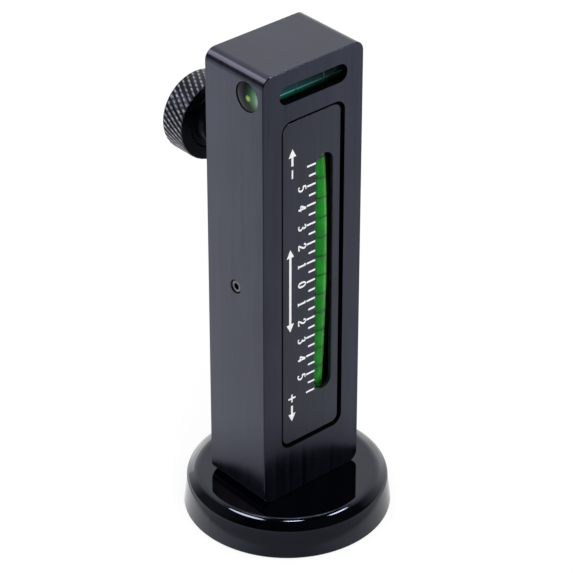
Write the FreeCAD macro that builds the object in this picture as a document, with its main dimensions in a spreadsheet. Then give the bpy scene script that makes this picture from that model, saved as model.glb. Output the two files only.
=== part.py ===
"""Magnetic camber caster gauge: a black aluminium block on a round pot magnet.

Frame: millimetres, +Z up along the block, origin at the middle of the magnet's contact face.
The camber scale faces -Y, the caster scale and the adjusting knob are on the +Y side.
The caster vial lies in a carrier that tilts about X on a pin at the height of the zero mark.
"""
import FreeCAD, Part
import math
import os

import Sketcher
from FreeCAD import Placement, Rotation, Vector

DIMENSIONS = [
    # the block
    ("body_width", 36.6, "block, side to side"),
    ("body_depth", 24.2, "block, front to back"),
    ("body_height", 141.0, "block, foot to crown"),
    ("body_set_back", 1.3, "block's middle behind the magnet's middle"),
    ("body_corner", 3.3, "rounding of the four long edges along Y"),
    ("body_edge", 0.25, "chamfer round the front and back faces"),
    # pockets and plates
    ("pocket_width", 23.2, "plate pockets, side to side"),
    ("pocket_foot_margin", 16.6, "block's foot to the pockets"),
    ("pocket_crown_margin", 15.9, "pockets to the block's crown"),
    ("pocket_corner", 3.4, "pocket corner radius"),
    ("plate_recess", 0.55, "plates below the faces of the block"),
    ("plate_edge", 0.15, "chamfer round the plates"),
    ("front_plate_thickness", 1.3, "camber plate"),
    ("front_plate_gap", 1.05, "shadow gap round the camber plate"),
    ("rear_plate_thickness", 2.5, "caster plate"),
    ("rear_plate_gap", 0.3, "gap round the caster plate"),
    # camber side
    ("zero_drop", 0.45, "zero mark below the middle of the pocket"),
    ("camber_window_shift", 4.66, "camber window to the right of the middle"),
    ("camber_window_play", 0.15, "graduation rings to the sides of the camber window"),
    ("camber_window_margin", 15.0, "pocket's end to the window's end"),
    ("camber_vial_size", 6.0, "outside diameter of the camber vial"),
    ("camber_vial_wall", 0.6, "wall of the camber vial"),
    ("camber_vial_bend", 360.0, "radius of the vial's curve: one degree is 6.28 mm"),
    ("camber_vial_rise", 9.0, "zero mark to the crown of the vial's curve"),
    ("camber_vial_margin", 3.7, "pocket's end to the vial's end"),
    ("camber_plug", 3.0, "length of a camber vial plug"),
    ("camber_bubble", 5.5, "length of the air space at the top"),
    ("camber_degrees", 6.0, "degrees each side of zero"),
    ("vial_play", 0.1, "plate's back to the vial at the window's upper end"),
    ("bed_floor", 0.45, "bed under the camber vial"),
    ("bed_side", 0.3, "bed beside the camber vial"),
    ("bed_rim", 0.5, "bed's edges behind the vial's axis"),
    ("channel_gap", 0.05, "bed to channel"),
    ("ring_height", 0.05, "graduation ring above the tube"),
    ("ring_width", 0.35, "graduation ring along the tube"),
    # caster side
    ("caster_shift", 6.0, "caster vial beside the middle"),
    ("caster_window_width", 5.6, "caster window"),
    ("caster_window_half", 25.0, "caster window, zero to end"),
    ("caster_vial_size", 7.0, "outside diameter of the caster vial"),
    ("caster_vial_wall", 0.7, "wall of the caster vial"),
    ("caster_vial_bend", 300.0, "radius of the vial's curve: one degree is 5.24 mm"),
    ("caster_vial_half", 29.5, "caster vial, zero to end"),
    ("caster_plug", 2.5, "length of a caster vial plug"),
    ("caster_bubble", 7.0, "length of the air space at the top"),
    ("caster_degrees", 4.0, "degrees each side of zero"),
    ("caster_vial_clear", 0.75, "caster vial to caster plate"),
    # tilting carrier
    ("carrier_width", 8.0, "carrier, side to side"),
    ("carrier_side_gap", 0.4, "carrier to cavity, each side"),
    ("carrier_wall", 0.8, "carrier in front of the pin"),
    ("carrier_saddle", 1.3, "carrier's back face in front of the vial's axis"),
    ("carrier_tilt_room", 1.7, "cavity in front of the carrier"),
    ("carrier_end_gap", 3.0, "cavity beyond the carrier's ends"),
    ("pin_size", 2.0, "pivot pin"),
    ("pin_web", 0.3, "carrier between the pin and the vial"),
    ("pin_seat", 1.4, "pin in the rib"),
    ("pin_running_gap", 0.05, "pin to carrier"),
    ("set_screw_size", 4.0, "M4 set screw at the end of the pin"),
    ("set_screw_length", 5.0, "its length"),
    ("set_screw_recess", 0.35, "its end below the left face"),
    ("set_screw_mouth", 0.18, "chamfer at its hole"),
    ("set_screw_socket", 2.0, "its hexagon, across flats"),
    # adjusting screw
    ("adjust_rise", 4.8, "screw above the carrier's step"),
    ("arm_thickness", 2.2, "arm of the carrier"),
    ("arm_half_height", 3.0, "arm, axis to edge"),
    ("arm_reach", 1.5, "arm beyond the screw's axis"),
    ("arm_rise", 0.3, "arm's face behind the vial's axis"),
    ("arm_side_gap", 0.9, "arm to its slot"),
    ("arm_travel", 1.5, "room for the arm's travel"),
    ("pad_size", 5.0, "thrust pad"),
    ("pad_thickness", 2.0, "thrust pad"),
    ("pad_dome", 5.0, "radius of the pad's domed face"),
    ("pad_spigot_size", 2.4, "pad's spigot"),
    ("pad_spigot_length", 2.5, "pad's spigot"),
    ("pad_contact_gap", 0.05, "pad to arm, and stud to pad"),
    ("pad_bore_gap", 0.8, "pad to its bore"),
    ("stud_size", 6.0, "M6 stud"),
    ("stud_running_gap", 0.05, "stud to bush"),
    ("bush_size", 10.4, "bush barrel"),
    ("bush_inside", 0.5, "bush past the caster plate's inner face"),
    ("bush_flange_size", 12.8, "bush flange"),
    ("bush_flange_thickness", 1.5, "bush flange"),
    ("bush_bore_gap", 0.2, "bush to the block"),
    ("friction_ring_section", 1.1, "rubber ring's section"),
    ("friction_ring_gap", 0.1, "rubber ring to stud and to its groove"),
    ("friction_groove_inset", 0.8, "flange's face to the groove"),
    # knob
    ("knob_size", 25.0, "knurled head"),
    ("knob_thickness", 8.5, "knurled head"),
    ("knob_stand_off", 18.0, "block's back to the head"),
    ("knob_chamfer", 0.25, "head's edges"),
    ("knob_neck_size", 11.2, "neck"),
    ("knob_neck_gap", 4.8, "block's back to the neck"),
    ("knob_root", 2.2, "fillet where the neck meets the head"),
    ("knob_groove_size", 17.6, "turned ring on the head's inner face"),
    ("knob_groove", 0.45, "width and depth of that ring"),
    ("knob_dish_size", 17.0, "dish in the outer face"),
    ("knob_dish", 0.7, "depth of the dish"),
    ("knob_bore_end", 3.5, "stud's end below the outer face"),
    ("knob_screw_size", 3.0, "M3 screw in the neck"),
    ("knob_screw_socket", 1.5, "its hexagon, across flats"),
    ("knob_screw_inset", 4.0, "neck's end to the screw"),
    ("knob_screw_recess", 0.3, "screw below the neck's surface"),
    # return spring
    ("spring_rise", 4.0, "spring above the carrier's step"),
    ("spring_mean_size", 3.6, "spring, mean diameter"),
    ("spring_wire", 0.5, "spring wire"),
    ("spring_hole_size", 4.7, "spring hole"),
    ("spring_block_depth", 4.4, "spring hole in the block"),
    ("spring_carrier_depth", 3.2, "spring hole in the carrier"),
    ("spring_end_gap", 0.1, "spring to the ends of its holes"),
    ("spring_turns", 6.0, "turns"),
    # cross level
    ("cross_vial_drop", 7.6, "crown to the cross vial"),
    ("cross_vial_depth", 6.55, "front face to the cross vial"),
    ("cross_vial_size", 8.8, "cross vial"),
    ("cross_vial_wall", 1.1, "wall of the cross vial"),
    ("cross_vial_inset", 0.25, "face of the block to the rim of the vial"),
    ("cross_vial_dome", 0.6, "height of its domed ends"),
    ("cross_vial_end", 5.0, "solid end, rim to bore"),
    ("cross_vial_cone", 1.9, "drill point at the closed end"),
    ("cross_vial_barrel", 0.25, "extra bore radius in the middle"),
    ("cross_bubble_length", 9.0, "bubble of the cross vial"),
    ("cross_bubble_depth", 2.2, "bubble of the cross vial"),
    ("cross_plug", 4.0, "plug of the cross vial, rim to liquid"),
    ("cross_ring_spacing", 10.0, "between its two rings"),
    ("cross_window_length", 24.6, "cross window"),
    ("cross_window_height", 5.6, "cross window"),
    # screws of the caster plate
    ("plate_screw_size", 2.5, "M2.5 countersunk screw"),
    ("plate_screw_head", 4.6, "its head"),
    ("plate_screw_length", 5.5, "its length"),
    ("plate_screw_socket", 1.5, "its hexagon, across flats"),
    ("plate_screw_inset", 3.2, "pocket's edge to a screw"),
    # magnet base
    ("base_height", 11.0, "cup, contact face to top"),
    ("base_foot_size", 62.0, "cup at the contact face"),
    ("base_shoulder_size", 60.2, "cup where the shoulder starts"),
    ("base_round", 2.5, "shoulder radius"),
    ("base_crown", 2.2, "soft slope inside the shoulder"),
    ("base_crown_drop", 0.23, "how far that slope falls"),
    ("base_foot_edge", 0.4, "chamfer at the contact face"),
    ("cup_roof", 3.5, "cup's roof"),
    ("cup_well_size", 50.8, "cup's well"),
    ("magnet_size", 48.4, "ring magnet"),
    ("magnet_bore", 25.6, "ring magnet's hole"),
    ("magnet_recess", 0.3, "magnet behind the contact face"),
    ("resin_recess", 0.5, "resin behind the contact face"),
    ("pole_size", 21.6, "pole piece"),
    ("pole_bore", 11.0, "pole piece's hole"),
    ("bolt_size", 5.0, "M5 base bolt"),
    ("bolt_length", 16.0, "its shank"),
    ("bolt_head_size", 8.5, "its head"),
    ("bolt_head_height", 5.0, "its head"),
    ("bolt_socket", 4.0, "its hexagon, across flats"),
    ("bolt_clearance", 0.25, "bolt to the cup's hole"),
    ("bolt_tip_room", 1.5, "thread beyond the bolt's tip"),
    ("washer_size", 9.0, "lock washer"),
    ("washer_thickness", 1.15, "lock washer"),
    ("washer_split", 0.8, "its split"),
    ("fit_gap", 0.05, "between pieces that are fixed together"),
]

# places that several pieces share, as expressions of the sheet's values
FRONT = "(dims.body_set_back - dims.body_depth / 2)"
BACK = "(dims.body_set_back + dims.body_depth / 2)"
SIDE = "(dims.body_width / 2)"
FOOT = "dims.base_height"
CROWN = "(dims.base_height + dims.body_height)"
POCKET_LOW = f"({FOOT} + dims.pocket_foot_margin)"
POCKET_HIGH = f"({CROWN} - dims.pocket_crown_margin)"
POCKET_SIDE = "(dims.pocket_width / 2)"
ZERO = f"(({POCKET_LOW} + {POCKET_HIGH}) / 2 - dims.zero_drop)"
FRONT_PLATE = f"({FRONT} + dims.plate_recess)"
FRONT_FLOOR = f"({FRONT_PLATE} + dims.front_plate_thickness)"
REAR_PLATE = f"({BACK} - dims.plate_recess)"
REAR_FLOOR = f"({REAR_PLATE} - dims.rear_plate_thickness)"
CAMBER_X = "dims.camber_window_shift"
CAMBER_WINDOW = "(dims.camber_vial_size + 2 * dims.ring_height + 2 * dims.camber_window_play)"
WINDOW_REACH = f"({POCKET_HIGH} - dims.camber_window_margin - {ZERO} - dims.camber_vial_rise)"
WINDOW_SAG = f"(dims.camber_vial_bend - sqrt(dims.camber_vial_bend ^ 2 - {WINDOW_REACH} ^ 2))"
CAMBER_Y = f"({FRONT_FLOOR} + dims.vial_play - {WINDOW_SAG} + dims.camber_vial_size / 2)"
CAMBER_HALF = f"(({POCKET_HIGH} - {POCKET_LOW}) / 2 - dims.zero_drop - dims.camber_vial_margin)"
CASTER_X = "(-dims.caster_shift)"
CASTER_Y = f"({REAR_FLOOR} - dims.caster_vial_clear - dims.caster_vial_size / 2)"
PIVOT_Y = f"({CASTER_Y} - dims.caster_vial_size / 2 - dims.pin_web - dims.pin_size / 2)"
CARRIER_LEFT = f"({CASTER_X} - dims.carrier_width / 2)"
CARRIER_RIGHT = f"({CASTER_X} + dims.carrier_width / 2)"
CARRIER_FRONT = f"({PIVOT_Y} - dims.pin_size / 2 - dims.carrier_wall)"
CAVITY_FLOOR = f"({CARRIER_FRONT} - dims.carrier_tilt_room)"
CAVITY_RIGHT = f"({CARRIER_RIGHT} + dims.carrier_side_gap)"
CARRIER_STEP = f"({ZERO} + dims.caster_vial_half + 4 * dims.vial_play)"
SCREW_Z = f"({CARRIER_STEP} + dims.adjust_rise)"
ARM_FACE = f"({CASTER_Y} + dims.arm_rise)"
ARM_TOP = f"({SCREW_Z} + dims.arm_half_height)"
PAD_BACK = f"({ARM_FACE} + dims.pad_contact_gap + dims.pad_thickness)"
KNOB_FACE = f"({BACK} + dims.knob_stand_off)"
KNOB_END = f"({KNOB_FACE} + dims.knob_thickness)"
NECK_END = f"({BACK} + dims.knob_neck_gap)"
STUD_END = f"({KNOB_END} - dims.knob_bore_end)"
SPRING_Z = f"({CARRIER_STEP} + dims.spring_rise)"
CROSS_Y = f"({FRONT} + dims.cross_vial_depth)"
CROSS_Z = f"({CROWN} - dims.cross_vial_drop)"
CROSS_RIM = f"({SIDE} - dims.cross_vial_inset)"
WELL_TOP = "(dims.base_height - dims.cup_roof)"
WASHER_FOOT = f"({WELL_TOP} - dims.washer_thickness)"
PIN_END = f"({CAVITY_RIGHT} + dims.pin_seat)"
SET_SCREW_END = f"(-{SIDE} + dims.set_screw_recess + dims.set_screw_length)"

doc = FreeCAD.newDocument("camber_caster_gauge")
dims = doc.addObject("Spreadsheet::Sheet", "dims")
for row, (alias, value, meaning) in enumerate(DIMENSIONS, start=1):
    dims.set(f"A{row}", meaning)
    dims.set(f"B{row}", str(value))
    dims.setAlias(f"B{row}", alias)
doc.recompute()

subparts = []


def value_of(expression):
    """The number that an expression of the sheet has now."""
    return float(dims.evalExpression(str(expression)))


# ---- sketch helpers: every point is held by distances from the sketch's origin ----


def new_body(label, exported=True):
    body = doc.addObject("PartDesign::Body", label)
    body.Label = label
    if exported:
        subparts.append(body)
    return body


def sketch_on(body, plane, at=("0", "0", "0")):
    """A sketch on an origin plane of the body, its own origin moved to the point at."""
    x, y, z = at
    offsets = {"XY_Plane": (x, y, z), "XZ_Plane": (x, z, f"-({y})"), "YZ_Plane": (y, z, x)}[plane]
    sketch = body.newObject("Sketcher::SketchObject", "sketch")
    support = [item for item in body.Origin.OriginFeatures if item.Role == plane][0]
    sketch.AttachmentSupport = [(support, "")]
    sketch.MapMode = "FlatFace"
    sketch.AttachmentOffset = Placement(Vector(*[value_of(part) for part in offsets]), Rotation())
    for name, expression in zip("xyz", offsets):
        sketch.setExpression(f"AttachmentOffset.Base.{name}", expression)
    return sketch


def hold(sketch, kind, *where_and_expression):
    """Adds a constraint whose value is an expression of the sheet."""
    *where, expression = where_and_expression
    index = sketch.addConstraint(Sketcher.Constraint(kind, *where, value_of(expression)))
    sketch.setExpression(f"Constraints[{index}]", str(expression))


def pin_point(sketch, geometry, point, place):
    hold(sketch, "DistanceX", -1, 1, geometry, point, place[0])
    hold(sketch, "DistanceY", -1, 1, geometry, point, place[1])


def circle(sketch, place, radius):
    centre = Vector(value_of(place[0]), value_of(place[1]), 0)
    index = sketch.addGeometry(Part.Circle(centre, Vector(0, 0, 1), value_of(radius)))
    pin_point(sketch, index, 3, place)
    hold(sketch, "Radius", index, radius)


def arc_between(start, end, radius):
    """The shorter arc from start to end, left of the chord if the radius is positive, else right."""
    chord = end - start
    normal = Vector(-chord.y, chord.x, 0).normalize()
    rise = math.sqrt(radius**2 - (chord.Length / 2) ** 2)
    centre = (start + end) / 2 - normal * math.copysign(rise, radius)
    from_start, from_end = [math.atan2(p.y - centre.y, p.x - centre.x) for p in (start, end)]
    full = Part.Circle(centre, Vector(0, 0, 1), abs(radius))
    if radius > 0:
        return Part.ArcOfCircle(full, from_end, from_start)
    return Part.ArcOfCircle(full, from_start, from_end)


def outline(sketch, corners):
    """A closed outline through the corners (x, y), or (x, y, radius) where an arc leaves a corner."""
    points = [Vector(value_of(corner[0]), value_of(corner[1]), 0) for corner in corners]
    ends = []
    for number, corner in enumerate(corners):
        start = points[number]
        end = points[(number + 1) % len(points)]
        if len(corner) == 2:
            ends.append((sketch.addGeometry(Part.LineSegment(start, end)), 1, 2))
            continue
        radius = value_of(corner[2])
        index = sketch.addGeometry(arc_between(start, end, radius))
        ends.append((index, 2, 1) if radius > 0 else (index, 1, 2))
        hold(sketch, "Radius", index, f"abs({corner[2]})")
    for number, (index, _, last) in enumerate(ends):
        following, first, _ = ends[(number + 1) % len(ends)]
        sketch.addConstraint(Sketcher.Constraint("Coincident", index, last, following, first))
    for (index, first, _), corner in zip(ends, corners):
        pin_point(sketch, index, first, corner)


def rounded_rectangle(sketch, left, right, low, high, radius):
    """Four lines and four equal corner arcs, tangent to each other."""
    x0, x1, y0, y1, r = [value_of(item) for item in (left, right, low, high, radius)]
    lines = [
        ((x0 + r, y0), (x1 - r, y0)),
        ((x1, y0 + r), (x1, y1 - r)),
        ((x1 - r, y1), (x0 + r, y1)),
        ((x0, y1 - r), (x0, y0 + r)),
    ]
    centres = [(x1 - r, y0 + r), (x1 - r, y1 - r), (x0 + r, y1 - r), (x0 + r, y0 + r)]
    first = sketch.GeometryCount
    for number, ((ax, ay), (bx, by)) in enumerate(lines):
        sketch.addGeometry(Part.LineSegment(Vector(ax, ay, 0), Vector(bx, by, 0)))
        full = Part.Circle(Vector(*centres[number], 0), Vector(0, 0, 1), r)
        turn = (number - 1) * math.pi / 2
        sketch.addGeometry(Part.ArcOfCircle(full, turn, turn + math.pi / 2))
    for number in range(4):
        line, arc = first + 2 * number, first + 2 * number + 1
        following = first + (2 * number + 2) % 8
        sketch.addConstraint(Sketcher.Constraint("Tangent", line, 2, arc, 1))
        sketch.addConstraint(Sketcher.Constraint("Tangent", arc, 2, following, 1))
        direction = "Vertical" if number % 2 else "Horizontal"
        sketch.addConstraint(Sketcher.Constraint(direction, line))
        if number:
            sketch.addConstraint(Sketcher.Constraint("Equal", first + 1, arc))
    hold(sketch, "Radius", first + 1, radius)
    hold(sketch, "DistanceY", -1, 1, first, 1, low)
    hold(sketch, "DistanceX", -1, 1, first + 2, 1, right)
    hold(sketch, "DistanceY", -1, 1, first + 4, 1, high)
    hold(sketch, "DistanceX", -1, 1, first + 6, 1, left)


def slot(sketch, centre, width, height):
    """A slot with round ends, standing along the sketch's y axis."""
    cx, cy, w, tall = [value_of(item) for item in (*centre, width, height)]
    r = w / 2
    half = tall / 2 - r
    up = Vector(cx, cy + half, 0)
    down = Vector(cx, cy - half, 0)
    first = sketch.GeometryCount
    sketch.addGeometry(Part.ArcOfCircle(Part.Circle(up, Vector(0, 0, 1), r), 0, math.pi))
    sketch.addGeometry(Part.LineSegment(up + Vector(-r, 0, 0), down + Vector(-r, 0, 0)))
    sketch.addGeometry(Part.ArcOfCircle(Part.Circle(down, Vector(0, 0, 1), r), math.pi, 2 * math.pi))
    sketch.addGeometry(Part.LineSegment(down + Vector(r, 0, 0), up + Vector(r, 0, 0)))
    for number in range(4):
        here, following = first + number, first + (number + 1) % 4
        sketch.addConstraint(Sketcher.Constraint("Tangent", here, 2, following, 1))
    sketch.addConstraint(Sketcher.Constraint("Equal", first, first + 2))
    hold(sketch, "Radius", first, f"({width}) / 2")
    pin_point(sketch, first, 3, (centre[0], f"{centre[1]} + (({height}) - ({width})) / 2"))
    pin_point(sketch, first + 2, 3, (centre[0], f"{centre[1]} - (({height}) - ({width})) / 2"))


def hexagon(sketch, across_flats, centre=("0", "0")):
    corners = []
    for number in range(6):
        angle = 60 * number + 30
        reach = f"({across_flats}) / (2 * cos(30 deg))"
        corners.append(
            (f"{centre[0]} + {reach} * cos({angle} deg)", f"{centre[1]} + {reach} * sin({angle} deg)")
        )
    outline(sketch, corners)


# ---- feature helpers ----


def pad(body, sketch, length, reverse=False, both_ways=False):
    feature = body.newObject("PartDesign::Pad", "pad")
    feature.Profile = sketch
    feature.setExpression("Length", length)
    feature.Reversed = reverse
    feature.Midplane = both_ways
    doc.recompute()
    return feature


def cut(body, sketch, length, reverse=False, both_ways=False):
    """A pocket, with a check that it took something away."""
    before = body.Shape.Volume
    feature = body.newObject("PartDesign::Pocket", "pocket")
    feature.Profile = sketch
    feature.setExpression("Length", length)
    feature.Reversed = reverse
    feature.Midplane = both_ways
    doc.recompute()
    if body.Shape.Volume > before - 1e-6:
        raise ValueError(f"{body.Label}: a pocket cut nothing")
    return feature


def revolve(body, sketch, axis="V_Axis", angle="360 deg", kind="PartDesign::Revolution"):
    """A turned shape about an axis of the sketch, half of the angle to each side."""
    feature = body.newObject(kind, "turned")
    feature.Profile = sketch
    feature.ReferenceAxis = (sketch, [axis])
    feature.Midplane = True
    feature.setExpression("Angle", angle)
    doc.recompute()
    return feature


def groove(body, sketch, axis="H_Axis", angle="360 deg"):
    """A turned cut, with a check that it took something away."""
    before = body.Shape.Volume
    feature = revolve(body, sketch, axis, angle, "PartDesign::Groove")
    if body.Shape.Volume > before - 1e-6:
        raise ValueError(f"{body.Label}: a groove cut nothing")
    return feature


def soften(body, kind, size, wanted):
    """A fillet or chamfer on the edges for which wanted is true."""
    tip = body.Tip
    names = [f"Edge{n}" for n, edge in enumerate(tip.Shape.Edges, start=1) if wanted(edge)]
    feature = body.newObject(kind, "edge_finish")
    feature.Base = (tip, names)
    feature.setExpression("Radius" if kind.endswith("Fillet") else "Size", size)
    doc.recompute()
    return feature


def lies_at(edge, axis, place):
    """True if the whole edge lies in the plane axis = place."""
    low = [edge.BoundBox.XMin, edge.BoundBox.YMin, edge.BoundBox.ZMin][axis]
    high = [edge.BoundBox.XMax, edge.BoundBox.YMax, edge.BoundBox.ZMax][axis]
    return abs(low - place) < 1e-4 and abs(high - place) < 1e-4


# ---- the block and its plates ----


def body_block():
    body = new_body("body_block")
    face = sketch_on(body, "XZ_Plane", ("0", FRONT, "0"))
    rounded_rectangle(face, f"-{SIDE}", SIDE, FOOT, CROWN, "dims.body_corner")
    pad(body, face, "dims.body_depth", reverse=True)
    front, back = value_of(FRONT), value_of(BACK)
    soften(
        body,
        "PartDesign::Chamfer",
        "dims.body_edge",
        lambda edge: lies_at(edge, 1, front) or lies_at(edge, 1, back),
    )
    cut_plate_pockets(body)
    cut_camber_channel(body)
    cut_carrier_cavity(body)
    cut_screw_passages(body)
    cut_cross_level(body)


def cut_plate_pockets(body):
    pocket_front = sketch_on(body, "XZ_Plane", ("0", FRONT, "0"))
    rounded_rectangle(
        pocket_front, f"-{POCKET_SIDE}", POCKET_SIDE, POCKET_LOW, POCKET_HIGH, "dims.pocket_corner"
    )
    cut(body, pocket_front, "dims.plate_recess + dims.front_plate_thickness")
    pocket_back = sketch_on(body, "XZ_Plane", ("0", BACK, "0"))
    rounded_rectangle(
        pocket_back, f"-{POCKET_SIDE}", POCKET_SIDE, POCKET_LOW, POCKET_HIGH, "dims.pocket_corner"
    )
    cut(body, pocket_back, "dims.plate_recess + dims.rear_plate_thickness", reverse=True)


def cut_camber_channel(body):
    """The channel behind the camber plate: its floor follows the bent vial."""
    half = f"({CAMBER_HALF} + 4 * dims.vial_play)"
    radius = "(dims.camber_vial_bend - dims.camber_vial_size / 2 - dims.bed_floor)"
    low_floor, high_floor = [
        f"({CAMBER_Y} + dims.camber_vial_bend - sqrt({radius} ^ 2 - ({half} {side} dims.camber_vial_rise) ^ 2))"
        for side in "+-"
    ]
    side_view = sketch_on(body, "YZ_Plane", (CAMBER_X, "0", "0"))
    outline(
        side_view,
        [
            (FRONT_FLOOR, f"{ZERO} - {half}"),
            (low_floor, f"{ZERO} - {half}", radius),
            (high_floor, f"{ZERO} + {half}"),
            (FRONT_FLOOR, f"{ZERO} + {half}"),
        ],
    )
    cut(body, side_view, "dims.camber_vial_size + 2 * dims.bed_side", both_ways=True)


def cut_carrier_cavity(body):
    opening = sketch_on(body, "XZ_Plane", ("0", REAR_FLOOR, "0"))
    rounded_rectangle(
        opening,
        f"{CARRIER_LEFT} - dims.carrier_side_gap",
        CAVITY_RIGHT,
        f"{ZERO} - dims.caster_vial_half - dims.carrier_end_gap",
        f"{ARM_TOP} + dims.carrier_end_gap",
        "dims.carrier_side_gap * 2",
    )
    cut(body, opening, f"{REAR_FLOOR} - {CAVITY_FLOOR}", reverse=True)
    arm_slot = sketch_on(body, "XZ_Plane", ("0", REAR_FLOOR, "0"))
    outline(
        arm_slot,
        [
            (CASTER_X, f"{SCREW_Z} - dims.arm_half_height - dims.arm_side_gap"),
            ("dims.arm_reach + dims.arm_side_gap", f"{SCREW_Z} - dims.arm_half_height - dims.arm_side_gap"),
            ("dims.arm_reach + dims.arm_side_gap", f"{SCREW_Z} + dims.arm_half_height + dims.arm_side_gap"),
            (CASTER_X, f"{SCREW_Z} + dims.arm_half_height + dims.arm_side_gap"),
        ],
    )
    cut(body, arm_slot, f"{REAR_FLOOR} - {ARM_FACE} + dims.arm_thickness + dims.arm_travel", reverse=True)
    spring_hole = sketch_on(body, "XZ_Plane", ("0", CAVITY_FLOOR, "0"))
    circle(spring_hole, (CASTER_X, SPRING_Z), "dims.spring_hole_size / 2")
    cut(body, spring_hole, "dims.spring_block_depth", reverse=True)


def cut_screw_passages(body):
    pad_bore = sketch_on(body, "XZ_Plane", ("0", REAR_FLOOR, "0"))
    circle(pad_bore, ("0", SCREW_Z), "dims.pad_size / 2 + dims.pad_bore_gap")
    cut(body, pad_bore, f"{REAR_FLOOR} - {ARM_FACE} + dims.arm_travel", reverse=True)
    bush_seat = sketch_on(body, "XZ_Plane", ("0", REAR_FLOOR, "0"))
    circle(bush_seat, ("0", SCREW_Z), "dims.bush_size / 2 + dims.bush_bore_gap")
    cut(body, bush_seat, "dims.bush_inside + dims.bush_bore_gap", reverse=True)
    screw_hole = sketch_on(body, "YZ_Plane", (f"-{SIDE}", "0", "0"))
    circle(screw_hole, (PIVOT_Y, ZERO), "dims.set_screw_size / 2 + dims.fit_gap")
    cut(body, screw_hole, f"{SET_SCREW_END} + {SIDE} + dims.fit_gap", reverse=True)
    left = value_of(f"-{SIDE}")
    soften(
        body,
        "PartDesign::Chamfer",
        "dims.set_screw_mouth",
        lambda edge: lies_at(edge, 0, left) and edge.Curve.TypeId == "Part::GeomCircle",
    )
    pin_hole = sketch_on(body, "YZ_Plane", (f"-{SIDE}", "0", "0"))
    circle(pin_hole, (PIVOT_Y, ZERO), "dims.pin_size / 2 + dims.fit_gap / 2")
    cut(body, pin_hole, f"{PIN_END} + {SIDE} + dims.fit_gap", reverse=True)
    plate_threads = sketch_on(body, "XZ_Plane", ("0", REAR_FLOOR, "0"))
    for x, z in plate_screw_places():
        circle(plate_threads, (x, z), "dims.plate_screw_size / 2 + dims.fit_gap")
    cut(body, plate_threads, "dims.plate_screw_length", reverse=True)
    base_thread = sketch_on(body, "XY_Plane", ("0", "0", FOOT))
    circle(base_thread, ("0", "0"), "dims.bolt_size / 2 + dims.fit_gap")
    cut(body, base_thread, f"{WASHER_FOOT} + dims.bolt_length + dims.bolt_tip_room - {FOOT}", reverse=True)


def cut_cross_level(body):
    bore = sketch_on(body, "YZ_Plane", (f"-{SIDE}", "0", "0"))
    circle(bore, (CROSS_Y, CROSS_Z), "dims.cross_vial_size / 2 + dims.vial_play")
    cut(body, bore, "dims.body_width", reverse=True)
    window = sketch_on(body, "XZ_Plane", ("0", FRONT, "0"))
    lying_slot(window, ("0", CROSS_Z), "dims.cross_window_length", "dims.cross_window_height")
    cut(body, window, "dims.cross_vial_depth")


def lying_slot(sketch, centre, length, height):
    """A slot along the sketch's x axis: a rectangle whose corner arcs nearly meet."""
    rounded_rectangle(
        sketch,
        f"{centre[0]} - ({length}) / 2",
        f"{centre[0]} + ({length}) / 2",
        f"{centre[1]} - ({height}) / 2",
        f"{centre[1]} + ({height}) / 2",
        f"({height}) * 0.49",
    )


def plate_screw_places():
    side = f"({POCKET_SIDE} - dims.plate_screw_inset)"
    low = f"({POCKET_LOW} + dims.plate_screw_inset)"
    high = f"({POCKET_HIGH} - dims.plate_screw_inset)"
    return [(f"-{side}", low), (side, low), (side, high), (f"-{side}", high)]


def plate_blank(label, outer_face, thickness, gap, towards_back):
    body = new_body(label)
    face = sketch_on(body, "XZ_Plane", ("0", outer_face, "0"))
    rounded_rectangle(
        face,
        f"-{POCKET_SIDE} + {gap}",
        f"{POCKET_SIDE} - {gap}",
        f"{POCKET_LOW} + {gap}",
        f"{POCKET_HIGH} - {gap}",
        f"dims.pocket_corner - {gap}",
    )
    pad(body, face, f"{thickness} - dims.fit_gap", reverse=towards_back)
    return body


def camber_scale_plate():
    gap = "dims.front_plate_gap"
    body = plate_blank("camber_scale_plate", FRONT_PLATE, "dims.front_plate_thickness", gap, True)
    window = sketch_on(body, "XZ_Plane", ("0", FRONT_PLATE, "0"))
    middle = f"({ZERO} + dims.zero_drop)"
    tall = f"({POCKET_HIGH} - {POCKET_LOW} - 2 * dims.camber_window_margin)"
    slot(window, (CAMBER_X, middle), CAMBER_WINDOW, tall)
    cut(body, window, "dims.front_plate_thickness")
    face = value_of(FRONT_PLATE)
    soften(body, "PartDesign::Chamfer", "dims.plate_edge", lambda edge: lies_at(edge, 1, face))


def caster_scale_plate():
    gap = "dims.rear_plate_gap"
    body = plate_blank("caster_scale_plate", REAR_PLATE, "dims.rear_plate_thickness", gap, False)
    window = sketch_on(body, "XZ_Plane", ("0", REAR_PLATE, "0"))
    slot(window, (CASTER_X, ZERO), "dims.caster_window_width", "2 * dims.caster_window_half")
    cut(body, window, "dims.rear_plate_thickness", reverse=True)
    bush_hole = sketch_on(body, "XZ_Plane", ("0", REAR_PLATE, "0"))
    circle(bush_hole, ("0", SCREW_Z), "dims.bush_size / 2 + dims.fit_gap")
    cut(body, bush_hole, "dims.rear_plate_thickness", reverse=True)
    face = value_of(REAR_PLATE)
    soften(body, "PartDesign::Chamfer", "dims.plate_edge", lambda edge: lies_at(edge, 1, face))
    for x, z in plate_screw_places():
        hole = sketch_on(body, "YZ_Plane", (x, REAR_PLATE, z))
        outline(hole, countersunk_profile("dims.fit_gap", "dims.rear_plate_thickness"))
        groove(body, hole)


def countersunk_profile(gap, depth):
    """Half section of a countersunk hole or screw, from its face at 0 to -depth along the first axis."""
    head = f"dims.plate_screw_head / 2 + {gap}"
    shank = f"dims.plate_screw_size / 2 + {gap}"
    return [
        ("0", "0"),
        ("0", head),
        (f"-({head}) + ({shank})", shank),
        (f"-({depth})", shank),
        (f"-({depth})", "0"),
    ]


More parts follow.
